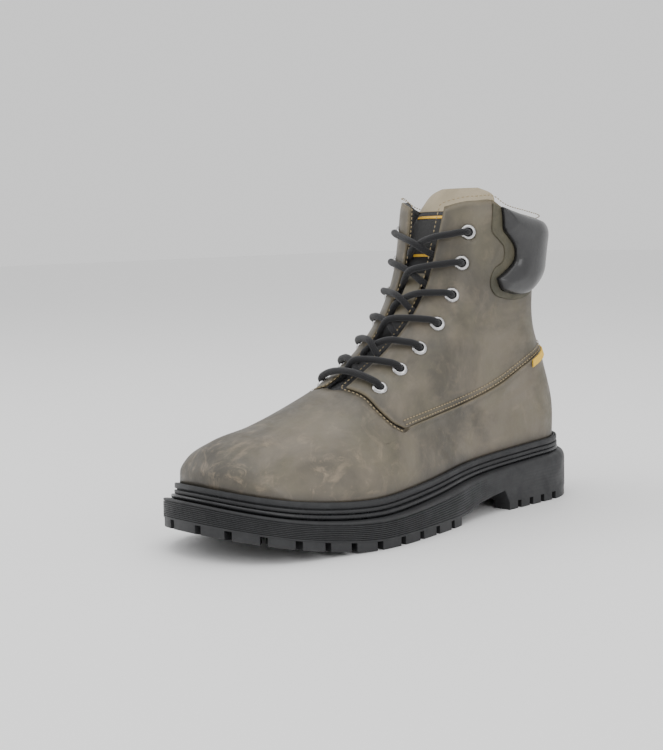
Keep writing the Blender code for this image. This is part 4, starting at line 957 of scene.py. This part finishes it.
def shaftLeather():
    flat = shaftPanel()
    edges = [flapLine, throatLine, topLine]
    cutEdge, away = wearOf(flat, edges)
    offset = troughs(flat) - 0.22 * mm * np.exp(-((away - 2.6 * mm) / (0.8 * mm)) ** 2)
    offset -= 0.45 * mm * (1 - softStep(away, 0.0, 1.3 * mm))
    wear = np.clip(0.16 + 0.7 * cutEdge, 0, 1)
    # painted shade in the groove of the edge stitching
    paintedShade = 0.28 * np.exp(-((away - 2.6 * mm) / (2.5 * mm)) ** 2)
    bm = bmesh.new()
    bothSides(bm, flat, offset, extras={"wear": wear, "paintedShade": paintedShade, "cut": 0.8 * (away < 0.5 * mm)})
    cutHoles(bm)
    piece = finish(
        "shaftLeather", bm, leather, outward=Vector((0, 0.06, 0.12)), replaces=("quarters",))
    thicken(piece, wall["leather"])


def innerLining():
    bm = bmesh.new()
    bothSides(bm, shaftPanel(), -underLevel)
    bothSides(bm, lowerPanel(), -underLevel - 0.05 * mm, ridge=True)
    cutHoles(bm)
    piece = finish(
        "shaftLining", bm, liningCloth, outward=Vector((0, 0.03, 0.08)), smoothAngle=0)
    thicken(piece, wall["lining"])


# Eyelets: seven on each side, at even steps up the throat
eyelet = {
    "count": 7, "low": 0.470, "high": 0.910, "fromEdge": 16.0 * mm, "outer": 4.6 * mm, "bore": 2.3 * mm,
    "barrel": 3.0 * mm, "rise": 1.2 * mm, "hole": 3.2 * mm, "foot": -3.2 * mm, "seat": 0.15 * mm, "steps": 40,
}
eyeletSpan = runAt(np.array([eyelet["low"], eyelet["high"]]) * last["height"])
eyeletRuns = np.linspace(*eyeletSpan, eyelet["count"])
eyeletUps = np.interp(eyeletRuns, frontRun, frontLine[:, 1])
throatGap = throatHalf(eyeletUps)
eyeletAcross = throatGap + eyelet["fromEdge"]


def eyeletPlaces():
    places = []
    for side, name in ((1, "lateral"), (-1, "medial")):
        spots = frontSheet(eyeletRuns, side * eyeletAcross)
        ways = frontOut(eyeletRuns, side * eyeletAcross)
        for k in range(eyelet["count"]):
            place = Vector(toWorld(spots[k]))
            way = Vector(toWorld(spots[k] + ways[k])) - place
            places.append((f"eyelet_{name}_{k + 1}", place, way.normalized()))
    return places


eyelets = eyeletPlaces()


def cutHoles(bm):
    faces = []
    for _, place, way in eyelets:
        for face in bm.faces:
            offset = face.calc_center_median() - place
            if offset.length < eyelet["hole"] * 1.6:
                across = offset - way * offset.dot(way)
                if across.length < eyelet["hole"]:
                    faces.append(face)
    bmesh.ops.delete(bm, geom=faces, context="FACES")


def makeEyelets():
    bore, outer, barrel = eyelet["bore"], eyelet["outer"], eyelet["barrel"]
    rise, foot = eyelet["rise"], eyelet["foot"]
    section = (
        (bore, foot), (bore, 0.3 * rise), (bore + 0.35 * mm, 0.80 * rise), (bore + 0.9 * mm, rise),
        (outer - 0.9 * mm, 0.86 * rise), (outer - 0.3 * mm, 0.5 * rise), (outer, 0.0), (barrel, 0.0),
        (barrel, foot), (bore, foot),
    )
    for name, place, way in eyelets:
        bm = bmesh.new()
        verts = [bm.verts.new((r, 0, z)) for r, z in section]
        edges = [bm.edges.new(pair) for pair in zip(verts, verts[1:])]
        bmesh.ops.spin(
            bm, geom=verts + edges, cent=(0, 0, 0), axis=(0, 0, 1), angle=2 * math.pi,
            steps=eyelet["steps"], use_merge=True)
        turn = way.to_track_quat("Z", "Y").to_matrix().to_4x4()
        turn.translation = place + way * eyelet["seat"]
        bmesh.ops.transform(bm, matrix=turn, verts=bm.verts)
        finish("ring_" + name, bm, nickel, replaces=(name,), smoothAngle=50)


lowerLeather()
shaftLeather()
innerLining()
makeEyelets()
print("stage: leather and eyelets ready")

# Collar: a puffed crescent round the back, with a strip along its front
collar = {
    "puff": 6.6 * mm, "base": 0.9 * mm, "round": 12.0 * mm, "pleat": 0.22 * mm, "pleatTurns": 1500, "steps": 60,
    "strip": (
        (0.313, 0.990), (0.314, 0.935), (0.312, 0.902), (0.288, 0.873), (0.269, 0.851), (0.265, 0.834),
        (0.267, 0.810), (0.295, 0.783), (0.305, 0.757), (0.303, 0.725), (0.289, 0.702), (0.260, 0.687),
        (0.211, 0.680), (0.179, 0.684), (0.1375, 0.711), (0.070, 0.720),
    ),
    "stripRise": 0.8 * mm,
}
waveLine = smoothPath(flatten(sharePoints(pattern["collarFront"])), collar["steps"])
collarFoot = smoothPath(startAtBack(pattern["collarFoot"]), collar["steps"])
collarTop = smoothPath(startAtBack(pattern["top"][::-1][:4]), collar["steps"])


def collarPad():
    low, high, front = collarFoot.copy(), collarTop.copy(), waveLine.copy()
    high[:, 1] -= 0.5 * mm
    back = backEdge(low[0, 1], high[0, 1], collar["steps"])
    low[0], low[-1], high[0], high[-1] = back[0], front[0], back[-1], front[-1]
    flat = coons(low, high, back, front)
    places = flat.reshape(-1, 2)
    sewn = np.minimum(distanceTo(front, places), 1.25 * distanceTo(high, places))
    away = np.minimum(distanceTo(low, places), sewn)
    away = away.reshape(flat.shape[:-1])
    share = np.clip(away / collar["round"], 0, 1)
    lift = collar["base"] + collar["puff"] * np.sqrt(1 - (1 - share) ** 2)
    frontAway = distanceTo(front, places).reshape(away.shape)
    pleats = np.sin(flat[..., 1] * collar["pleatTurns"]) * np.exp(-(frontAway / (3.5 * mm)) ** 2)
    lift = lift + collar["pleat"] * (pleats * softStep(away, 0.5 * mm, 2.0 * mm))
    bm = bmesh.new()
    bothSides(bm, flat, lift)
    piece = finish(
        "collarCushion", bm, padFinish, outward=Vector((0, 0.07, 0.16)), replaces=("collar_pad",))
    thicken(piece, collar["base"])


def collarStrip():
    inner = np.concatenate([waveLine[::-1], collarFoot[::-1][1:]])
    outer = smoothPath(startAtBack(collar["strip"][::-1])[::-1], 240)
    inner = evenly(inner, 240)
    band = np.stack([inner * (1 - t) + outer * t for t in np.linspace(-0.12, 1, 9)])[:, ::-1]
    lift = np.broadcast_to(collar["stripRise"], band.shape[:-1]).copy()
    lift[-1] -= 0.4 * mm
    bm = bmesh.new()
    zero = np.zeros(band.shape[:-1])
    bothSides(bm, band, lift, extras={"wear": zero + 0.10, "paintedShade": zero, "cut": zero})
    piece = finish("collarStrip", bm, stripLeather, outward=Vector((0, 0.07, 0.16)))
    thicken(piece, collar["stripRise"])


# A point inside the shaft, behind the tongue
shaftMiddle = Vector((0, 0.10, 0.12))

# Tongue: half widths as shares of the ball width, at shares of the height
tongue = {
    "up": (0.395, 0.450, 0.600, 0.800, 0.950, 1.010, 1.045, 1.060),
    "half": (0.200, 0.240, 0.270, 0.300, 0.310, 0.290, 0.200, 0.110),
    "lean": 26 * mm, "bend": 0.86, "level": wallDepth + 1.76 * mm, "thickness": 5.5 * mm,
    "rows": 90, "columns": 50, "domeFrom": 0.985, "channelPitch": 0.12, "channelRise": 0.7 * mm,
}


def leanBack(sheet):
    bend = tongue["bend"]
    rise = np.clip((sheet[..., 2] / last["height"] - bend) / (tongue["up"][-1] - bend), 0, None)
    moved = sheet.copy()
    moved[..., 1] -= tongue["lean"] * rise**1.5
    return moved


def tongueSheet(ups, columns, widen=0.0):
    runs = runAt(np.asarray(ups) * last["height"])
    halves = smooth(np.asarray(ups), tongue["up"], tongue["half"]) * last["ball"] + widen
    run, share = np.broadcast_arrays(runs[:, None], np.linspace(-1, 1, columns + 1)[None])
    across = halves[:, None] * share
    return run, across, leanBack(frontSheet(run, across))


def tongueBody():
    ups = np.concatenate([np.linspace(0.395, 1.0, tongue["rows"]), np.linspace(1.003, 1.060, 24)])
    run, across, sheet = tongueSheet(ups, tongue["columns"])
    up = sheet[..., 2] / last["height"]
    # sewn channels across the padded front
    wave = np.cos(2 * math.pi * (up - 0.5) / tongue["channelPitch"]) ** 2
    channel = tongue["channelRise"] * wave * (1 - softStep(np.abs(across), 15 * mm, 26 * mm))
    flat = np.stack([across, run], axis=-1)
    bm = bmesh.new()
    layGrid(bm, sheet, flat, {"lift": -tongue["level"] + channel})
    piece = finish(
        "tonguePad", bm, liningCloth, outward=shaftMiddle, replaces=("tongue",), smoothAngle=60)
    thicken(piece, tongue["thickness"], 1.8 * mm)
    ups = np.linspace(tongue["domeFrom"], 1.060, 30)
    run, across, sheet = tongueSheet(ups, tongue["columns"], 0.5 * mm)
    flat = np.stack([across, run], axis=-1)
    zero = np.zeros(flat.shape[:-1])
    bm = bmesh.new()
    lift = zero - tongue["level"] + 0.9 * mm
    layGrid(bm, sheet, flat, {"lift": lift, "wear": zero + 0.25, "paintedShade": zero, "cut": zero})
    piece = finish("tongueDome", bm, domeLeather, outward=shaftMiddle, smoothAngle=60)
    thicken(piece, tongue["thickness"] + 1.8 * mm, 2.2 * mm)


# Patches on the tongue: ends as shares of the height, half width, rise over the tongue, thickness, arch
patches = {
    "label": (0.83, 0.97, 17 * mm, 0.9 * mm, 0.9 * mm, 0.0),
    "lowPiping": (0.831, 0.839, 16.5 * mm, 1.3 * mm, 0.8 * mm, 0.0),
    "highPiping": (0.961, 0.969, 16.5 * mm, 1.3 * mm, 0.8 * mm, 0.0),
    "keeper": (0.64, 0.78, 4.5 * mm, 2.0 * mm, 1.5 * mm, 1.2 * mm),
}


def frontPatch(name, patch, material, replaces=()):
    low, high, half, rise, thickness, arch = patches[patch]
    runs = np.linspace(*runAt(np.array([low, high]) * last["height"]), 25)
    run, share = np.broadcast_arrays(runs[:, None], np.linspace(-1, 1, 17)[None])
    spread = half * share
    sheet = leanBack(frontSheet(run, spread))
    along = np.linspace(0, 1, 25)[:, None]
    lift = -tongue["level"] + rise + arch * np.sin(math.pi * along) + 0 * share
    zero = np.zeros(run.shape)
    bm = bmesh.new()
    looks = {"lift": lift, "wear": zero + 0.2, "paintedShade": zero, "cut": zero}
    layGrid(bm, sheet, np.stack([spread, run], axis=-1), looks)
    piece = finish(name, bm, material, outward=shaftMiddle, replaces=replaces, smoothAngle=60)
    thicken(piece, thickness, 0.25 * mm)


def tubeAlong(bm, path, radius, sides=12):
    # a round cord: a grid wrapped round the path
    way = np.gradient(path, axis=0)
    way /= np.linalg.norm(way, axis=1)[:, None]
    normal = np.cross(way[0], (0.3, 0.2, 1.0))
    frames = []
    for tangent in way:
        normal = normal - tangent * normal.dot(tangent)
        normal /= np.linalg.norm(normal)
        frames.append((normal, np.cross(tangent, normal)))
    turn = np.linspace(0, 2 * math.pi, sides + 1)
    cosine, sine = np.cos(turn)[:, None], np.sin(turn)[:, None]
    rings = np.stack([spot + radius * (cosine * n + sine * b) for spot, (n, b) in zip(path, frames)])
    run = lengths(path)
    flat = np.stack(np.broadcast_arrays(turn[None] * radius, run[:, None]), axis=-1)
    layGrid(bm, rings, flat)


# Lace: from inside one eyelet, over the throat, into the next eyelet on the other side
lace = {"radius": 2.1 * mm, "points": 70}


def lacePath(stops):
    stops = np.array(stops)
    spots = frontSheet(stops[:, 0], stops[:, 1]) + frontOut(stops[:, 0], stops[:, 1]) * stops[:, 2:]
    return smoothPath(spots, lace["points"])


def intoEyelet(k):
    # across, and height in millimetres, from the throat's edge down through eyelet k
    gap, reach = throatGap[k], eyeletAcross[k]
    return [
        (0.5 * (gap + reach), 3.1), (reach - 4.2 * mm, 3.0), (reach - 1.2 * mm, 2.2),
        (reach + 0.1 * mm, -0.5), (reach, -4.0)]


def laceStrands():
    gap, reach = throatGap, eyeletAcross
    first = eyeletRuns[0]
    half = [(first, across, lift * mm) for across, lift in intoEyelet(0)]
    middleStops = [(first, share * gap[0], 3.6 * mm) for share in (-0.3, 0.3)]
    bar = [(run, -across, lift) for run, across, lift in half[::-1]] + middleStops + half
    bm = bmesh.new()
    tubeAlong(bm, lacePath(bar), lace["radius"])
    finish("laceBar", bm, laceCord, replaces=("lace_bar",), smoothAngle=0)
    for k in range(eyelet["count"] - 1):
        low, high = eyeletRuns[k], eyeletRuns[k + 1]
        step = high - low
        bm = bmesh.new()
        for side in (1, -1):
            cross = 4.3 if side == (1 if k % 2 else -1) else 1.4
            stops = [
                (low, side * reach[k], -4.2 * mm), (low + 0.04 * step, side * (gap[k] + 6 * mm), -4.6 * mm),
                (low + 0.14 * step, side * (gap[k] + 0.5 * mm), -4.0 * mm),
                (low + 0.30 * step, side * 0.45 * gap[k], 0.2 * mm),
                (low + 0.50 * step, 0.0, cross * mm),
                (low + 0.76 * step, -side * gap[k + 1], 3.5 * mm),
            ]
            stops += [(high - share * step, -side * across, lift * mm) for share, (across, lift) in
                      zip((0.10, 0.03, 0.0, 0.0, 0.0), intoEyelet(k + 1))]
            tubeAlong(bm, lacePath(stops), lace["radius"])
        finish(
            f"laceCross{k + 1}", bm, laceCord, replaces=(f"lace_cross_{k + 1}",), smoothAngle=0)


# Stitches: small pinched lengths of thread
stitch = {
    "pitch": 2.6 * mm, "length": 1.9 * mm, "radius": 0.36 * mm,
    # distance from the edge and height of the thread
    "seamRows": ((-1.8 * mm, 0.85 * mm), (-4.4 * mm, 0.60 * mm)), "edgeRow": (2.6 * mm, -0.05 * mm),
    "weltCount": 108, "weltReach": 2.0 * mm, "weltHeight": -0.42 * mm, "weltLength": 2.3 * mm, "weltRadius": 0.42 * mm,
}


def shiftLine(line, move):
    way = np.gradient(line, axis=0)
    way /= np.maximum(np.linalg.norm(way, axis=1), 1e-9)[:, None]
    return line + np.stack([way[:, 1], -way[:, 0]], axis=1) * move


def addStitch(bm, place, way, out, long, radius):
    side = out.cross(way).normalized()
    turn = Matrix((way * long / 2, side * radius, out.normalized() * radius * 0.8)).transposed().to_4x4()
    turn.translation = place
    bmesh.ops.create_icosphere(bm, subdivisions=2, radius=1.0, matrix=turn)


def stitchRows(name, rows):
    # rows: pattern line and the height of the leather there
    bm = bmesh.new()
    for line, height in rows:
        count = int(lengths(line)[-1] / stitch["pitch"])
        fine = evenly(line, 2 * count)
        for side in (1, -1):
            spots = rollUp(fine, side)
            outs = outOf(fine[1::2], side)
            for k in range(count):
                lift = outs[k] * height
                ends = toWorld(np.stack([spots[2 * k], spots[2 * k + 1], spots[2 * k + 2]]) + lift)
                way = Vector(ends[2] - ends[0]).normalized()
                out = Vector(toWorld(outs[k]) - toWorld((0.0, 0.0, 0.0)))
                addStitch(bm, Vector(ends[1]), way, out, stitch["length"], stitch["radius"])
    finish(name, bm, threadKhaki, smoothAngle=0, weld=0.0001 * mm)


def weltStitches():
    bm = bmesh.new()
    shares = np.linspace(0, 1, 2 * stitch["weltCount"] + 1)
    ring = toWorld(soleRing(shares, lambda s: 0 * s + stitch["weltReach"], level(stitch["weltHeight"])))
    for k in range(0, len(ring), 2):
        here, ahead = Vector(ring[k]), Vector(ring[(k + 1) % len(ring)])
        way = (ahead - Vector(ring[k - 1])).normalized()
        addStitch(bm, here, way, Vector((0, 0, 1)), stitch["weltLength"], stitch["weltRadius"])
    finish("weltStitches", bm, threadBlack, smoothAngle=0, weld=0.0001 * mm)


collarPad()
collarStrip()
tongueBody()
frontPatch("tongueLabel", "label", labelCloth, ("tongue_label",))
frontPatch("labelPiping1", "lowPiping", pipingYellow)
frontPatch("labelPiping2", "highPiping", pipingYellow)
frontPatch("keeperStrap", "keeper", strapLeather, ("lace_keeper",))
laceStrands()
stitchRows("seamStitches", [(shiftLine(seamLine, move), height) for move, height in stitch["seamRows"]])
edgeLine = np.concatenate([seamLine[-6:], flapLine[1:], throatLine[::-1][1:], topLine[::-1][1:]])
edgeRow = shiftLine(edgeLine, stitch["edgeRow"][0])
stitchRows("edgeStitches", [(edgeRow[6:], stitch["edgeRow"][1])])
weltStitches()
print("stage: collar, tongue, laces and stitches ready")


# Floor and light
studio = {"floor": 6.0, "key": 14.0, "fill": 7.0, "world": 1.0}


def makeStudio():
    bm = bmesh.new()
    bmesh.ops.create_grid(bm, x_segments=1, y_segments=1, size=studio["floor"])
    mesh = bpy.data.meshes.new("floor")
    bm.to_mesh(mesh)
    bm.free()
    f = Finish("whiteFloor")
    f.wire(Base_Color=(0.92, 0.92, 0.92, 1), Roughness=0.6)
    mesh.materials.append(f.material)
    floor = bpy.data.objects.new("floor", mesh)
    bpy.context.scene.collection.objects.link(floor)
    world = bpy.data.worlds.new("studioWorld")
    world.use_nodes = True
    world.node_tree.nodes["Background"].inputs["Color"].default_value = (1, 1, 1, 1)
    world.node_tree.nodes["Background"].inputs["Strength"].default_value = studio["world"]
    bpy.context.scene.world = world
    lights = (
        ("topLight", (0.1, -0.2, 1.6), (0, 0, 0.05), 1.6, studio["key"]),
        ("leftLight", (-1.3, -1.0, 0.9), (0, 0, 0.08), 1.0, studio["fill"]),
        ("rightLight", (1.6, -0.3, 0.8), (0, 0.03, 0.08), 0.8, studio["fill"]),
    )
    for name, place, target, size, power in lights:
        made = bpy.data.objects.new(name, bpy.data.lights.new(name, "AREA"))
        made.data.size = size
        made.data.energy = power
        made.location = place
        made.rotation_euler = (Vector(target) - Vector(place)).to_track_quat("-Z", "Y").to_euler()
        bpy.context.scene.collection.objects.link(made)


makeStudio()
print("stage: studio ready")
